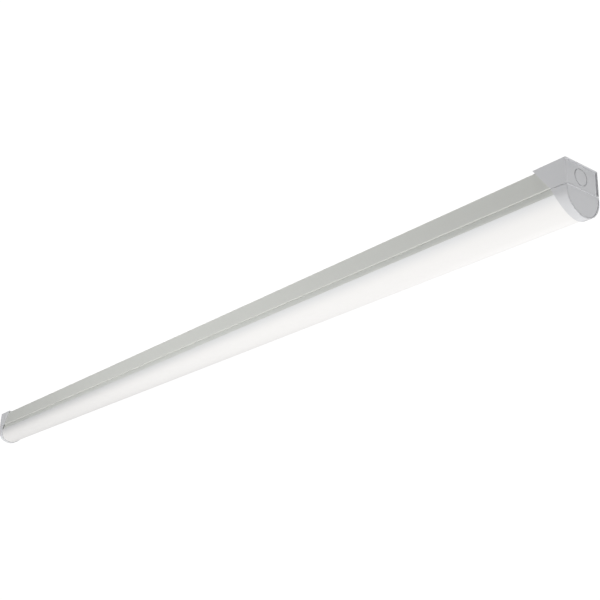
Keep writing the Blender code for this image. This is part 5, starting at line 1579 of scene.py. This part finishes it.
for end_name in ("input", "output"):
    eased_copy("driver_" + end_name, "driver_" + end_name + "_terminal", block_plastic, block_ease)
for end_name, place in (("near", strap_places[1]), ("far", strap_places[0])):
    hanging_strap(end_name, place, webbing)


# Floor, light and camera

def floor():
    """A pale floor far below the batten: a flat grid with a faint slow unevenness in its finish."""
    half_side, level, squares = 12.0, -5.2, 24
    across = np.linspace(-half_side, half_side, squares + 1)
    x, y = np.meshgrid(across, across, indexing="ij")
    patch = skin(np.stack([x, y, np.full_like(x, level)], axis=-1))
    mesh = mesh_from("floor", [patch], sharp=30.0, merge=same_point)
    mesh.materials.append(finish_of("pale floor", None, (0.80, 0.80, 0.80), (0.77, 0.77, 0.77), 0.7, slow=2.0,
                                    share=0.2, bump=0.05))
    made = bpy.data.objects.new("floor", mesh)
    bpy.context.scene.collection.objects.link(made)


def soft_light(name, place, aim, size, power):
    """A large soft light at a place, facing an aim point."""
    lamp = bpy.data.lights.new(name, "AREA")
    lamp.shape = "RECTANGLE"
    lamp.size, lamp.size_y = size
    lamp.energy = power
    made = bpy.data.objects.new(name, lamp)
    bpy.context.scene.collection.objects.link(made)
    towards = np.array(aim, dtype=float) - np.array(place, dtype=float)
    tilt = math.atan2(math.hypot(towards[0], towards[1]), -towards[2])
    made.location = place
    made.rotation_euler = (tilt, 0.0, math.atan2(towards[1], towards[0]) - math.pi / 2)


def overhead_light(name, strength, spread):
    """An even soft light straight down, which the pale floor sends back up under the batten."""
    lamp = bpy.data.lights.new(name, "SUN")
    lamp.energy = strength
    lamp.angle = math.radians(spread)
    bpy.context.scene.collection.objects.link(bpy.data.objects.new(name, lamp))


def surroundings(shade, backdrop):
    """A plain world: one even shade that lights the batten, and a brighter one behind it."""
    world = bpy.data.worlds.new("studio")
    world.use_nodes = True
    tree = world.node_tree
    even, behind = tree.nodes["Background"], tree.nodes.new("ShaderNodeBackground")
    for node, strength in ((even, shade), (behind, backdrop)):
        node.inputs["Color"].default_value = (1.0, 1.0, 1.0, 1.0)
        node.inputs["Strength"].default_value = strength
    seen = tree.nodes.new("ShaderNodeLightPath")
    mixed = tree.nodes.new("ShaderNodeMixShader")
    tree.links.new(seen.outputs["Is Camera Ray"], mixed.inputs[0])
    tree.links.new(even.outputs[0], mixed.inputs[1])
    tree.links.new(behind.outputs[0], mixed.inputs[2])
    tree.links.new(mixed.outputs[0], tree.nodes["World Output"].inputs[0])
    bpy.context.scene.world = world


def camera():
    """The photograph's viewpoint: from below, in front and beyond the near end."""
    lens = bpy.data.cameras.new("camera")
    lens.lens = 58.866
    lens.sensor_width = 36.0
    lens.clip_start = 0.01
    lens.clip_end = 50.0
    made = bpy.data.objects.new("camera", lens)
    bpy.context.scene.collection.objects.link(made)
    made.location = (1.545341, -0.871538, -0.577620)
    made.rotation_euler = tuple(math.radians(angle) for angle in (110.57634, -2.50338, 53.17626))
    bpy.context.scene.camera = made


floor()
surroundings(shade=0.01, backdrop=1.05)
overhead_light("overhead", strength=3.5, spread=30.0)
for name, place, aim, size, power in (
        ("front_key", (-0.9, -2.2, -1.3), (-0.2, 0.0, -0.03), (1.8, 1.8), 20.0),
        ("middle_light", (0.0, -1.1, -0.2), (0.0, 0.0, -0.03), (1.0, 0.5), 4.5),
        ("end_light", (2.9, 0.5, -0.5), (0.9, 0.0, -0.03), (1.2, 1.2), 23.5),
        ("side_light", (0.2, -2.6, -0.2), (0.2, 0.0, -0.03), (2.0, 1.0), 8.9),
        ("back_light", (-0.9, 2.5, -1.0), (-0.6, 0.0, -0.03), (2.0, 1.0), 15.0)):
    soft_light(name, place, aim, size, power)
camera()
bpy.context.scene.view_settings.view_transform = "Standard"
